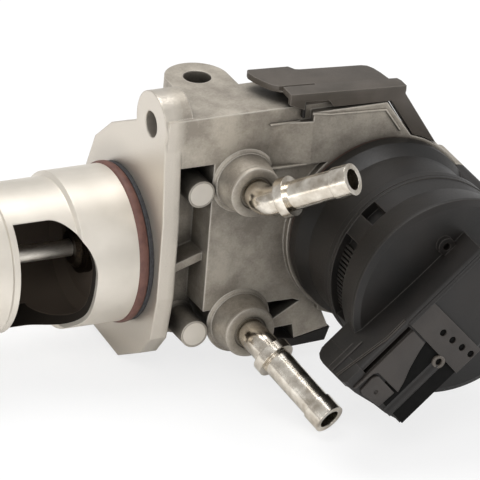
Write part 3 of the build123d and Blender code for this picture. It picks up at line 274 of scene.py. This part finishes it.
# Finishes of the smaller pieces, each with one cloudy or porous skin
smallLooks = {
    # Fluorocarbon rubber: dark brown red, matt with a soft sheen
    "sealRubber": {"shader": {"Roughness": 0.6, "IOR": 1.5}, "dark": "#5a3a33", "light": "#6c4a40", "spot": 2.5,
                   "detail": 3.0, "rough": (0.5, 0.7)},
    # Zinc plated screw steel, dark passivated: grey and cloudy
    "screwSteel": {"shader": {"Metallic": 1.0, "Roughness": 0.38}, "dark": "#6b6a68", "light": "#918f8b", "spot": 1.6,
                   "detail": 3.0, "rough": (0.3, 0.46), "edge": 0.25, "depth": 0.01},
    # Sintered bronze soaked in oil: dark brown and porous
    "sinteredBronze": {"shader": {"Metallic": 0.9, "Roughness": 0.5}, "dark": "#1c1712", "light": "#352b20",
                       "spot": 0.5, "detail": 2.0, "edge": 0.2, "depth": 0.03},
    # Tinned brass of pins and contacts: pale yellow grey, smooth
    "tinnedBrass": {"shader": {"Metallic": 1.0, "Roughness": 0.3}, "dark": "#a89a78", "light": "#cfc6ab", "spot": 1.5,
                    "detail": 2.0, "edge": 0.15, "depth": 0.005},
    # Acetal gear plastic: ivory and slightly glossy
    "acetal": {"shader": {"Roughness": 0.35, "IOR": 1.48}, "dark": "#cfc7b2", "light": "#ddd6c3", "spot": 6.0,
               "detail": 2.0, "edge": 0.2, "depth": 0.01},
    # Sintered ferrite and lacquered iron: charcoal and dull
    "ferrite": {"shader": {"Roughness": 0.7}, "dark": "#2b2b2d", "light": "#3f3f42", "spot": 0.8,
                "detail": 3.0, "edge": 0.2, "depth": 0.02},
    # Epoxy board under green solder mask: smooth and glossy with a faint weave
    "solderMask": {"shader": {"Roughness": 0.3, "IOR": 1.5}, "dark": "#0f4a2b", "light": "#15593a", "spot": 0.9,
                   "detail": 2.0, "edge": 0.1, "depth": 0.01},
    # Painted shade: near black slabs in the socket's pocket and behind its vents; the darkest thing on the part, matt,
    # faintly rippled
    "paintedShadeBlack": {"shader": {"Roughness": 0.8, "IOR": 1.5, "Specular IOR Level": 0.15}, "dark": "#040403",
                     "light": "#0a0908", "spot": 3.0, "detail": 3.0, "edge": 0.2, "depth": 0.03}}
def makeSmallFinish(name):
    look = smallLooks[name]
    material, tree, shader, place = startFinish(name, look["shader"])
    spots, skin = cloudSkin(tree, place, look)
    tree.links.new(skin, shader.inputs["Base Color"])
    if "rough" in look:
        varyGloss(tree, shader, spots, look)
    if "edge" in look:
        breakEdges(tree, shader, spots, look)
    return material


castAluminium = makeCastAluminium()
turnedAluminium = makeTurnedAluminium()
platedSteel = makePlatedSteel()
groundSteel = makeGroundSteel()
blackNylon = makeNylon("blackNylon")
greyNylon = makeNylon("greyNylon")
litPlugNylon = makeNylon("litPlugNylon")
sealRubber = makeSmallFinish("sealRubber")
screwSteel = makeSmallFinish("screwSteel")
sinteredBronze = makeSmallFinish("sinteredBronze")
tinnedBrass = makeSmallFinish("tinnedBrass")
acetal = makeSmallFinish("acetal")
ferrite = makeSmallFinish("ferrite")
solderMask = makeSmallFinish("solderMask")
paintedShadeBlack = makeSmallFinish("paintedShadeBlack")

nodeFinish = {
    "housing": castAluminium, "rear_lid": castAluminium, "spigot_tube": turnedAluminium,
    "upper_pipe": platedSteel, "lower_pipe": platedSteel, "core_plugs": turnedAluminium,
    "poppet_valve": groundSteel, "valve_seat": groundSteel, "yoke": groundSteel, "spring_retainer": groundSteel,
    "return_spring": groundSteel, "follower_pin": groundSteel, "cam_plate": groundSteel, "cam_shaft": groundSteel,
    "idler_axle": groundSteel, "motor_shaft": groundSteel, "motor_can": groundSteel, "motor_plate": groundSteel,
    "armature": ferrite, "motor_magnets": ferrite, "sensor_magnet": ferrite,
    "stem_guide": sinteredBronze, "rear_bush": sinteredBronze, "front_bearing": sinteredBronze,
    "motor_bushes": sinteredBronze, "commutator": tinnedBrass, "motor_pinion": tinnedBrass,
    "connector_pins": tinnedBrass, "spigot_seal": sealRubber, "stem_seal": sealRubber, "shaft_seal": sealRubber,
    "cover_seal": sealRubber, "drive_gasket": sealRubber,
    "drive_base": blackNylon, "drive_cover": blackNylon, "top_cap": greyNylon, "lower_cap": blackNylon,
    "sector_gear": acetal, "idler_gear": acetal, "sensor_board": solderMask, "brush_holder": solderMask,
    "lid_screws": screwSteel, "drive_screws": screwSteel}
for name, node in nodes.items():
    node.data.materials.clear()
    node.data.materials.append(nodeFinish[name])
print("finishes on the frame's nodes")


# The drive's drum axis runs along Y, and the plug socket points down to the left of it, at an angle in degrees
drum = {"x": 80.0, "z": 8.5}
plug = {"direction": 222.0}
def directionAt(angle):
    return Vector((math.cos(math.radians(angle)), 0, math.sin(math.radians(angle))))


towardPlug = directionAt(plug["direction"])
besidePlug = directionAt(plug["direction"] - 90)


# A point in metres from millimetres along, beside and across the plug's direction
def onPlug(along, beside, y):
    return (Vector((drum["x"], y, drum["z"])) + towardPlug * along + besidePlug * beside) * mm


# How meshes are finished: angles in degrees from which an edge is sharp or gets rounded, and the steps of a rounding
moulding = {"sharpFrom": 35.0, "roundFrom": 32.0, "roundSteps": 3}


# Turns a mesh into a piece of the scene that rides on the housing, with the material it is given
def fitPiece(name, shape, material, smooth=True):
    bmesh.ops.recalc_face_normals(shape, faces=shape.faces)
    mesh = bpy.data.meshes.new(name)
    shape.to_mesh(mesh)
    shape.free()
    for face in mesh.polygons:
        face.use_smooth = smooth
    if smooth:
        mesh.set_sharp_from_angle(angle=math.radians(moulding["sharpFrom"]))
    mesh.materials.append(material)
    piece = bpy.data.objects.new(name, mesh)
    bpy.context.scene.collection.objects.link(piece)
    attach(piece, "housing")
    return piece


# Closed ring from an outline taken round a circle: pointAt gives the point for a turn and a pair of the outline
def sweepRound(shape, outline, steps, pointAt):
    loops = []
    for step in range(steps):
        turn = 2 * math.pi * step / steps
        loops.append([shape.verts.new(pointAt(turn, *pair)) for pair in outline])
    for here, after in zip(loops, loops[1:] + loops[:1]):
        for index in range(len(outline)):
            following = (index + 1) % len(outline)
            shape.faces.new((here[index], here[following], after[following], after[index]))


# Ring about a line along Y, from a closed (radius, y) outline
def turnRing(shape, x, z, outline, steps=64):
    sweepRound(shape, outline, steps, lambda turn, radius, y: (
        (x + radius * math.cos(turn)) * mm, y * mm, (z + radius * math.sin(turn)) * mm))


# Ring about the valve's stem, from a closed (x, radius) outline
def turnAboutStem(shape, outline, steps=128):
    sweepRound(shape, outline, steps, lambda turn, x, radius: (
        x * mm, radius * math.cos(turn) * mm, radius * math.sin(turn) * mm))


# Bar between eight corners with its edges rounded
def roundBar(shape, corners, radius):
    verts = [shape.verts.new(corner) for corner in corners]
    made = [shape.faces.new([verts[i] for i in ring])
            for ring in ((0, 1, 2, 3), (7, 6, 5, 4), (0, 4, 5, 1), (1, 5, 6, 2), (2, 6, 7, 3), (3, 7, 4, 0))]
    edges = list({edge for face in made for edge in face.edges})
    bmesh.ops.bevel(shape, geom=edges, offset=radius * mm, segments=moulding["roundSteps"], profile=0.5,
                    affect="EDGES")


# Corners of a bar given by its ranges in x, y and z, and of one given by its ranges in the plug's directions
def blockCorners(x, y, z):
    return [(a * mm, b * mm, c * mm) for c in z for a, b in
            ((x[0], y[0]), (x[1], y[0]), (x[1], y[1]), (x[0], y[1]))]


def plugCorners(along, beside, y):
    return [onPlug(a, b, c) for c in y for a, b in
            ((along[0], beside[0]), (along[1], beside[0]), (along[1], beside[1]), (along[0], beside[1]))]


# Solid between two loops of points, one for each corner of its outline
def addPrism(shape, lower, upper):
    low = [shape.verts.new(point) for point in lower]
    high = [shape.verts.new(point) for point in upper]
    shape.faces.new(low)
    shape.faces.new(high)
    for index in range(len(low)):
        after = (index + 1) % len(low)
        shape.faces.new((low[index], low[after], high[after], high[index]))


def makePrism(lower, upper):
    shape = bmesh.new()
    addPrism(shape, lower, upper)
    return shape


# Block along Y from an outline of (x, z) points, and a cylinder as such a block
def sideBlock(outline, back, front):
    return makePrism([(x * mm, back * mm, z * mm) for x, z in outline],
                     [(x * mm, front * mm, z * mm) for x, z in outline])


def roundDrum(x, z, radius, back, front, steps=96):
    turns = [2 * math.pi * step / steps for step in range(steps)]
    return sideBlock([(x + radius * math.cos(turn), z + radius * math.sin(turn)) for turn in turns], back, front)


# Plate across the plug's front, from an outline of (along, beside) points
def plugPlate(outline, back, front):
    return makePrism([onPlug(a, b, back) for a, b in outline], [onPlug(a, b, front) for a, b in outline])


# Bodies with pockets: parts are joined, cuts are taken out, and every sharp edge is rounded as a mould rounds it
def carve(name, solid, joins, cuts, rounding):
    steps = []
    for index, shape in enumerate([solid] + joins + cuts):
        bmesh.ops.recalc_face_normals(shape, faces=shape.faces)
        mesh = bpy.data.meshes.new(f"{name}Step{index}")
        shape.to_mesh(mesh)
        shape.free()
        step = bpy.data.objects.new(mesh.name, mesh)
        bpy.context.scene.collection.objects.link(step)
        steps.append(step)
    for index, other in enumerate(steps[1:]):
        change = steps[0].modifiers.new("change", "BOOLEAN")
        change.operation = "UNION" if index < len(joins) else "DIFFERENCE"
        change.solver = "EXACT"
        change.object = other
    edge = steps[0].modifiers.new("round", "BEVEL")
    edge.width = rounding * mm
    edge.segments = moulding["roundSteps"]
    edge.limit_method = "ANGLE"
    edge.angle_limit = math.radians(moulding["roundFrom"])
    whole = steps[0].evaluated_get(bpy.context.evaluated_depsgraph_get())
    shape = bmesh.new()
    shape.from_mesh(whole.to_mesh())
    whole.to_mesh_clear()
    for step in steps:
        bpy.data.objects.remove(step)
    return shape


# Cast coves where round bosses and posts meet the casting's walls, each given by its x, z, radius and wall
coves = {"radius": 1.2, "steps": 5, "sunk": 0.6, "behind": 0.4,
         "bosses": [(30.0, 31.0, 10.4, -28.0), (32.0, -21.0, 10.4, -28.0)],
         "posts": [(14.4, 28.4, 4.8, -15.0), (15.7, -23.5, 4.8, -15.0)]}
def makeCoves():
    shape = bmesh.new()
    cove, steps, sunk, behind = (coves[key] for key in ("radius", "steps", "sunk", "behind"))
    for x, z, radius, wall in coves["bosses"] + coves["posts"]:
        outline = [(radius - sunk, wall + behind), (radius + cove, wall + behind)]
        for step in range(steps + 1):
            angle = math.pi / 2 * step / steps
            outline.append((radius + cove * (1 - math.sin(angle)), wall - cove * (1 - math.cos(angle))))
        outline.append((radius - sunk, wall - cove))
        turnRing(shape, x, z, outline)
    fitPiece("castCoves", shape, castAluminium)


# Raised rims round the mouths of the two pipe bosses, from an outline of (radius, y) points
bossRims = {"centres": [(30.0, 31.0), (32.0, -21.0)],
            "outline": [(5.6, -35.6), (5.6, -37.6), (5.9, -38.0), (6.5, -38.1), (8.1, -38.1), (8.8, -37.8),
                        (9.1, -37.1), (9.1, -36.1), (8.6, -35.6)]}
def makeBossRims():
    shape = bmesh.new()
    for x, z in bossRims["centres"]:
        turnRing(shape, x, z, bossRims["outline"])
    fitPiece("bossRims", shape, castAluminium)


# Plug socket's front: a bar with four vents, near black slabs of painted shade in the pocket below it and behind the
# vents, the latch arm with its rounded tab, and a ringed pin. Outlines are (along, beside) points in the plug's
# directions
plugBar = {"outline": [(5.6, 16.3), (5.0, -11.9), (16.2, -11.9), (16.2, 16.3)], "back": -101.8, "front": -103.05,
           "vents": [(10.2, 4.0), (9.6, -0.9), (9.0, -5.8), (8.4, -10.3)], "ventRadius": 1.25,
           "ventY": (-100.0, -105.0), "rounding": 0.45}
pocketShade = {"socketShade": ((16.0, 40.6), (-11.7, 5.4), (-101.9, -102.25)),
          "ventShade": ((6.5, 12.5), (-11.7, 6.0), (-101.9, -102.35)), "rounding": 0.1}
latch = {"arm": [(16.9, 13.2), (16.9, 6.2), (20.0, 5.4), (26.0, 3.2), (31.0, 0.6), (34.6, -0.6), (34.9, 10.9),
                 (36.4, 12.0), (43.6, 12.6), (44.3, 13.2)],
         "tab": [(35.5, 9.2), (35.5, 0.2), (42.3, 0.6), (43.6, 8.8), (43.0, 10.6), (37.4, 11.0), (36.0, 10.4)],
         "back": -101.8, "front": -103.15, "dot": (39.8, 5.8, 0.75), "dotY": (-102.4, -105.0), "rounding": 0.5}
pin = {"at": (17.9, -3.4), "steps": 48,
       "outline": [(1.2, -101.9), (1.2, -102.98), (1.5, -103.28), (2.05, -103.28), (2.35, -102.98), (2.35, -101.9)]}
ridge = {"bar": ((-17.6, 16.4), (15.1, 16.6), (-101.6, -103.2)), "rounding": 0.6}
drillSteps = 32
def makeSocketFront():
    def drill(along, beside, radius, span):
        centre = onPlug(along, beside, 0.0) / mm
        return roundDrum(centre.x, centre.z, radius, *span, drillSteps)

    vents = [drill(along, beside, plugBar["ventRadius"], plugBar["ventY"]) for along, beside in plugBar["vents"]]
    bar = carve("plugBar", plugPlate(plugBar["outline"], plugBar["back"], plugBar["front"]), [], vents,
                plugBar["rounding"])
    # The bar, latch arm and tab are in the socket's lighter nylon, painted light
    fitPiece("ventBar", bar, litPlugNylon)
    arm = carve("latchArm", plugPlate(latch["arm"], latch["back"], latch["front"]), [], [], latch["rounding"])
    fitPiece("latchArm", arm, litPlugNylon)
    tab = carve("latchTab", plugPlate(latch["tab"], latch["back"], latch["front"]), [],
                [drill(*latch["dot"], latch["dotY"])], latch["rounding"])
    fitPiece("latchTab", tab, litPlugNylon)
    shape = bmesh.new()
    centre = onPlug(*pin["at"], 0.0) / mm
    turnRing(shape, centre.x, centre.z, pin["outline"], pin["steps"])
    fitPiece("pinRing", shape, greyNylon)
    shape = bmesh.new()
    roundBar(shape, plugCorners(*ridge["bar"]), ridge["rounding"])
    fitPiece("plugRidge", shape, blackNylon)
    # Near black slabs of painted shade in the socket's pocket and behind its vents
    shape = bmesh.new()
    for part in ("socketShade", "ventShade"):
        roundBar(shape, plugCorners(*pocketShade[part]), pocketShade["rounding"])
    fitPiece("plugPocketShade", shape, paintedShadeBlack)


# Lip round the plug socket's mouth, slanted as the mating plug's collar wants it: its front lies in (along, beside)
# points and its side in (along, y) points
mouthLip = {"front": [(39.0, 14.4), (39.0, -8.6), (40.9, -8.9), (42.3, -3.6), (43.0, 2.3), (44.9, 11.1), (45.2, 14.4)],
            "frontY": (-100.2, -102.2),
            "side": [(38.0, -79.3), (42.2, -79.3), (44.2, -80.6), (45.2, -82.8), (45.65, -85.8), (45.65, -99.6),
                     (45.2, -101.4), (44.3, -102.2), (38.0, -102.2)], "sideBeside": (13.9, 16.65), "rounding": 0.55}
def makeMouthLip():
    low, high = mouthLip["sideBeside"]
    outline = mouthLip["side"]
    side = makePrism([onPlug(a, low, y) for a, y in outline], [onPlug(a, high, y) for a, y in outline])
    lip = carve("mouthLip", plugPlate(mouthLip["front"], *mouthLip["frontY"]), [side], [], mouthLip["rounding"])
    fitPiece("mouthLip", lip, blackNylon)


# Seam and ribs on the socket's side: two thin lines a step apart, and two bars with their roundings
sideSeam = {"line": [(16.5, -100.3), (25.1, -100.4), (45.2, -96.0)], "step": 0.85, "half": 0.16,
            "beside": (16.4, 16.95),
            "ribs": [(((31.5, 45.3), (16.4, 17.1), (-92.1, -92.8)), 0.3),
                     (((34.0, 45.0), (16.4, 16.9), (-89.3, -89.8)), 0.2)]}
def makeSideSeam():
    shape = bmesh.new()
    low, high = sideSeam["beside"]
    for shift in (-sideSeam["step"] / 2, sideSeam["step"] / 2):
        upper = [(a, y + shift + sideSeam["half"]) for a, y in sideSeam["line"]]
        lower = [(a, y + shift - sideSeam["half"]) for a, y in sideSeam["line"]]
        outline = upper + lower[::-1]
        addPrism(shape, [onPlug(a, low, y) for a, y in outline], [onPlug(a, high, y) for a, y in outline])
    for bar, rounding in sideSeam["ribs"]:
        roundBar(shape, plugCorners(*bar), rounding)
    # In the socket's lighter nylon, painted light
    fitPiece("plugSeam", shape, litPlugNylon)


# Top cap: a roof plate that stands over the casting's ridge on its foot, with a slot, an apron in front and a sloping
# strip. The plate and foot are (x, y) outlines, the apron and strip are (x, z) outlines
topCap = {"plate": [(37.6, -9.3), (38.4, -8.9), (52.9, -8.9), (54.4, -11.3), (56.1, -11.7), (78.4, -12.3),
                    (80.3, -13.0), (81.6, -15.2), (82.5, -18.8), (83.2, -23.9), (86.2, -24.0), (86.85, -26.0),
                    (86.85, -30.15), (44.07, -30.15), (44.2, -23.6), (43.0, -22.9), (41.05, -21.4), (39.1, -17.9),
                    (37.7, -14.4), (37.1, -11.2)],
          "foot": [(47.5, -12.5), (79.0, -13.5), (81.0, -18.0), (82.2, -28.6), (49.8, -28.6), (47.5, -24.0)],
          "ridge": 61.9, "ridgeAt": 37.6, "fall": 0.0558, "thick": 2.2, "footLow": 56.15, "footSunk": 1.0,
          "apron": [(44.07, 57.6), (49.5, 55.3), (49.7, 58.3), (58.4, 57.6), (60.4, 55.0), (81.0, 54.25), (83.0, 54.6),
                    (86.0, 57.0), (86.4, 58.2), (60.0, 59.7), (44.07, 60.6)], "apronBack": -28.25, "front": -30.15,
          "strip": [(80.6, 56.6), (81.6, 54.4), (91.5, 39.3), (99.0, 28.1), (104.9, 27.9), (86.75, 56.1), (86.5, 58.3)],
          "stripBack": -24.2, "slot": ((43.0, -23.8), (56.1, -23.8), (56.1, -22.8), (43.0, -22.8)), "slotDepth": 1.7,
          "above": 3.0, "seatRadius": 33.85, "seatY": (-17.6, -45.0), "sleeve": (108.3, 23.5, 4.1),
          "sleeveY": (-13.0, -45.0), "sleeveSteps": 48, "rounding": 0.4}
def makeTopCap():
    size = topCap

    def roof(offset):
        return lambda x: size["ridge"] - (x - size["ridgeAt"]) * size["fall"] + offset

    def at(outline, height):
        return [(x * mm, y * mm, height(x) * mm) for x, y in outline]

    plate = makePrism(at(size["plate"], roof(-size["thick"])), at(size["plate"], roof(0.0)))
    foot = makePrism(at(size["foot"], lambda x: size["footLow"]), at(size["foot"], roof(-size["footSunk"])))
    apron = sideBlock(size["apron"], size["apronBack"], size["front"])
    strip = sideBlock(size["strip"], size["stripBack"], size["front"])
    slot = makePrism(at(size["slot"], roof(-size["slotDepth"])), at(size["slot"], roof(size["above"])))
    seat = roundDrum(drum["x"], drum["z"], size["seatRadius"], *size["seatY"])
    sleeve = roundDrum(*size["sleeve"], *size["sleeveY"], size["sleeveSteps"])
    cap = carve("topCap", plate, [foot, apron, strip], [slot, seat, sleeve], size["rounding"])
    piece = fitPiece("topCap", cap, greyNylon)
    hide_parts("top_cap")


# Leg behind the apron that clips the cap to the casting
capLeg = {"bar": ((49.2, 50.2), (-29.7, -28.1), (51.9, 57.5)), "rounding": 0.3}
def makeCapLeg():
    shape = bmesh.new()
    roundBar(shape, blockCorners(*capLeg["bar"]), capLeg["rounding"])
    fitPiece("capLeg", shape, blackNylon)


# Cast ribs: two ledges left of the bosses' web, and the raised line along the casting's front edge under the cap
castRibs = {"ledges": [((38.7, 54.2), (-30.3, -27.6), (34.4, 35.4)), ((38.0, 49.0), (-29.1, -27.6), (50.2, 51.0))],
            "ledgeRounding": 0.35, "line": [(52.5, 54.2), (58.9, 53.0), (79.7, 51.9), (85.6, 43.4)],
            "thick": (0.35, 0.8), "lineY": (-30.2, -31.05), "lineRounding": 0.3}
def makeCastRibs():
    shape = bmesh.new()
    for ledge in castRibs["ledges"]:
        roundBar(shape, blockCorners(*ledge), castRibs["ledgeRounding"])
    fitPiece("castLedges", shape, castAluminium)
    line = castRibs["line"]
    inward, down = castRibs["thick"]
    outline = line + [(x - inward, z - down) for x, z in line[::-1]]
    bead = carve("castBead", sideBlock(outline, *castRibs["lineY"]), [], [], castRibs["lineRounding"])
    fitPiece("castBead", bead, castAluminium)


# Seal ring of the spigot: a band with a rounded back that stands a little proud of the land, and a dark ring of
# painted shade in the gap behind it, from outlines of (x, radius) points
sealBand = {"from": -5.2, "to": -1.7, "outer": 27.35, "crown": 0.9, "crownSteps": 10,
            "foot": [(-5.2, 26.4), (-3.85, 26.4), (-3.85, 24.9), (-1.7, 24.9)],
            "gapShadeRing": [(-1.6, 26.3), (-1.6, 26.75), (-1.3, 26.95), (-0.1, 26.85), (-0.1, 26.3)]}
def makeSealBand():
    start, end, outer, crown, steps = (sealBand[key] for key in ("from", "to", "outer", "crown", "crownSteps"))
    middle, half = (start + end) / 2, (end - start) / 2
    turns = [math.pi * step / steps for step in range(steps + 1)]
    rounded = [(middle + half * math.cos(turn), outer - crown + crown * math.sin(turn)) for turn in turns]
    shape = bmesh.new()
    turnAboutStem(shape, rounded + sealBand["foot"])
    band = fitPiece("sealBand", shape, sealRubber)
    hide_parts("spigot_seal")
    # Dark ring of painted shade in the gap behind the band
    shape = bmesh.new()
    turnAboutStem(shape, sealBand["gapShadeRing"])
    fitPiece("sealGapShade", shape, ferrite)


# Return spring: the frame's coil as a piece of its own with its doubled points welded, riding rigidly on the housing
spring = {"fixedEnd": 18.5, "stroke": 6.6, "weld": 0.001}
def makeReturnSpring():
    shape = bmesh.new()
    shape.from_mesh(nodes["return_spring"].data)
    bmesh.ops.remove_doubles(shape, verts=shape.verts, dist=spring["weld"] * mm)
    coil = fitPiece("returnSpring", shape, groundSteel)
    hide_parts("return_spring")
    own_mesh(coil)


# Grip ribs in the cover's groove: geometry nodes repeat one rib along an arc, with named sizes
gripRibs = {"radius": 28.9, "from": 157.0, "sweep": 44.0, "ribs": 16, "rib": (0.8, 2.4, 9.0), "y": -66.85,
            "arcSteps": 96}
def ribTree():
    tree = bpy.data.node_groups.new("ribsAlongAnArc", "GeometryNodeTree")
    for name, kind in (("Radius", "Float"), ("From", "Float"), ("Sweep", "Float"), ("Ribs", "Int"),
                       ("Rib Size", "Vector"), ("Centre", "Vector"), ("Material", "Material")):
        tree.interface.new_socket(name, in_out="INPUT", socket_type="NodeSocket" + kind)
    tree.interface.new_socket("Geometry", in_out="OUTPUT", socket_type="NodeSocketGeometry")
    given = tree.nodes.new("NodeGroupInput").outputs
    arc = addNode(tree, "GeometryNodeCurveArc", {"mode": "RADIUS", "Resolution": gripRibs["arcSteps"]}, {
        "Radius": given["Radius"], "Start Angle": given["From"], "Sweep Angle": given["Sweep"]}).outputs["Curve"]
    spots = addNode(tree, "GeometryNodeCurveToPoints", {"mode": "COUNT"}, {"Curve": arc, "Count": given["Ribs"]})
    rib = addNode(tree, "GeometryNodeMeshCube", links={"Size": given["Rib Size"]}).outputs["Mesh"]
    turned = addNode(tree, "FunctionNodeAlignRotationToVector", {"axis": "X"},
                     {"Vector": spots.outputs["Tangent"]}).outputs[0]
    ribs = addNode(tree, "GeometryNodeInstanceOnPoints", links={
        "Points": spots.outputs["Points"], "Instance": rib, "Rotation": turned}).outputs[0]
    upright = addNode(tree, "GeometryNodeTransform", {"Rotation": (math.pi / 2, 0, 0)},
                      {"Geometry": ribs, "Translation": given["Centre"]}).outputs[0]
    real = addNode(tree, "GeometryNodeRealizeInstances", links={"Geometry": upright}).outputs[0]
    done = addNode(tree, "GeometryNodeSetMaterial", links={"Geometry": real, "Material": given["Material"]}).outputs[0]
    addNode(tree, "NodeGroupOutput", links={"Geometry": done})
    return tree


def makeGripRibs():
    size = gripRibs
    tree = ribTree()
    holder = bpy.data.objects.new("ribSource", bpy.data.meshes.new("ribSource"))
    bpy.context.scene.collection.objects.link(holder)
    modifier = holder.modifiers.new("ribs", "NODES")
    modifier.node_group = tree
    given = {"Radius": size["radius"] * mm, "From": math.radians(size["from"]), "Sweep": math.radians(size["sweep"]),
             "Ribs": size["ribs"], "Rib Size": [side * mm for side in size["rib"]],
             "Centre": [drum["x"] * mm, size["y"] * mm, drum["z"] * mm], "Material": blackNylon}
    for socket in tree.interface.items_tree:
        if socket.in_out == "INPUT":
            modifier[socket.identifier] = given[socket.name]
    whole = holder.evaluated_get(bpy.context.evaluated_depsgraph_get())
    mesh = bpy.data.meshes.new_from_object(whole)
    holder.modifiers.remove(modifier)
    bpy.data.objects.remove(holder)
    shape = bmesh.new()
    shape.from_mesh(mesh)
    fitPiece("gripRibs", shape, blackNylon, smooth=False)


makeCoves()
makeBossRims()
makeSocketFront()
makeMouthLip()
makeSideSeam()
makeTopCap()
makeCapLeg()
makeCastRibs()
makeSealBand()
makeReturnSpring()
makeGripRibs()
print("cast details, socket details, cap parts, seal, spring and ribs")


# Floor, world and lamps, with sizes and places in metres
studio = {"floor": "#ffffff", "floorSize": 6.0, "floorAt": (0.05, 0.0), "floorGap": 0.0005, "floorShow": 0.75,
          "worldLight": 0.54, "lampAim": (0.05, -0.03, 0.0)}
lampList = [  # name, place, size, watts
    ("keyLamp", (-0.45, -0.7, 0.75), 0.5, 2.4),
    ("fillLamp", (0.75, -0.55, 0.25), 0.6, 2.0),
    ("topLamp", (0.0, 0.2, 0.9), 0.6, 5.0),
    ("lowLamp", (-0.7, -0.4, 0.06), 0.5, 1.6)]


def makeFloor():
    low = min(corner[2] for corner in cadBox)
    bpy.ops.mesh.primitive_plane_add(size=studio["floorSize"], location=(*studio["floorAt"], low - studio["floorGap"]))
    floor = bpy.context.object
    floor.name = "floor"
    material = bpy.data.materials.new("paperFloor")
    material.use_nodes = True
    tree = material.node_tree
    tree.nodes.clear()
    paper = addNode(tree, "ShaderNodeBsdfDiffuse", {"Color": linear(studio["floor"])})
    glow = addNode(tree, "ShaderNodeEmission", {"Color": linear(studio["floor"]), "Strength": 1.0})
    path = addNode(tree, "ShaderNodeLightPath")
    show = addNode(tree, "ShaderNodeMath", {"operation": "MULTIPLY", 1: studio["floorShow"]},
                   {0: path.outputs["Is Camera Ray"]})
    mix = addNode(tree, "ShaderNodeMixShader", links={0: show.outputs[0], 1: paper.outputs[0], 2: glow.outputs[0]})
    addNode(tree, "ShaderNodeOutputMaterial", links={"Surface": mix.outputs[0]})
    floor.data.materials.append(material)


# The world is white to the camera and through glass, and lights the part at its own lower level
def makeWorld():
    world = bpy.data.worlds.new("studioWorld")
    world.use_nodes = True
    bpy.context.scene.world = world
    tree = world.node_tree
    tree.nodes.clear()
    path = addNode(tree, "ShaderNodeLightPath")
    seen = addNode(tree, "ShaderNodeMath", {"operation": "MAXIMUM"},
                   {0: path.outputs["Is Camera Ray"], 1: path.outputs["Is Transmission Ray"]})
    light = studio["worldLight"]
    level = addNode(tree, "ShaderNodeMath", {"operation": "MULTIPLY_ADD", 1: 1 - light, 2: light}, {0: seen.outputs[0]})
    sky = addNode(tree, "ShaderNodeBackground", {"Color": linear(studio["floor"])}, {"Strength": level.outputs[0]})
    addNode(tree, "ShaderNodeOutputWorld", links={"Surface": sky.outputs[0]})


def makeLamps():
    for name, place, size, watts in lampList:
        lamp = bpy.data.lights.new(name, "AREA")
        lamp.shape = "DISK"
        lamp.size = size
        lamp.energy = watts
        holder = bpy.data.objects.new(name, lamp)
        bpy.context.scene.collection.objects.link(holder)
        holder.location = place
        aim = Vector(studio["lampAim"]) - Vector(place)
        holder.rotation_euler = aim.to_track_quat("-Z", "Y").to_euler()


makeFloor()
makeWorld()
makeLamps()


# Camera at the photograph's angle, given by the directions of its frame. It stands far off with a long lens, because
# the photograph shows almost no perspective
cameraSet = {"right": (0.902, -0.425, 0.072), "up": (0.1285, 0.425, 0.896), "aimAlong": 0.040, "aimUp": 0.0,
             "distance": 5.0, "lens": 1125.0, "sensor": 36.0}


def makeCamera():
    right = Vector(cameraSet["right"]).normalized()
    back = right.cross(Vector(cameraSet["up"])).normalized()
    up = back.cross(right)
    camera = bpy.data.cameras.new("camera")
    camera.lens = cameraSet["lens"]
    camera.sensor_width = cameraSet["sensor"]
    holder = bpy.data.objects.new("camera", camera)
    bpy.context.scene.collection.objects.link(holder)
    place = right * cameraSet["aimAlong"] + up * cameraSet["aimUp"] + back * cameraSet["distance"]
    turn = Matrix((right, up, back)).transposed()
    holder.matrix_world = Matrix.Translation(place) @ turn.to_4x4()
    bpy.context.scene.camera = holder


makeCamera()
bpy.context.scene.view_settings.view_transform = "Standard"
print("studio and camera")
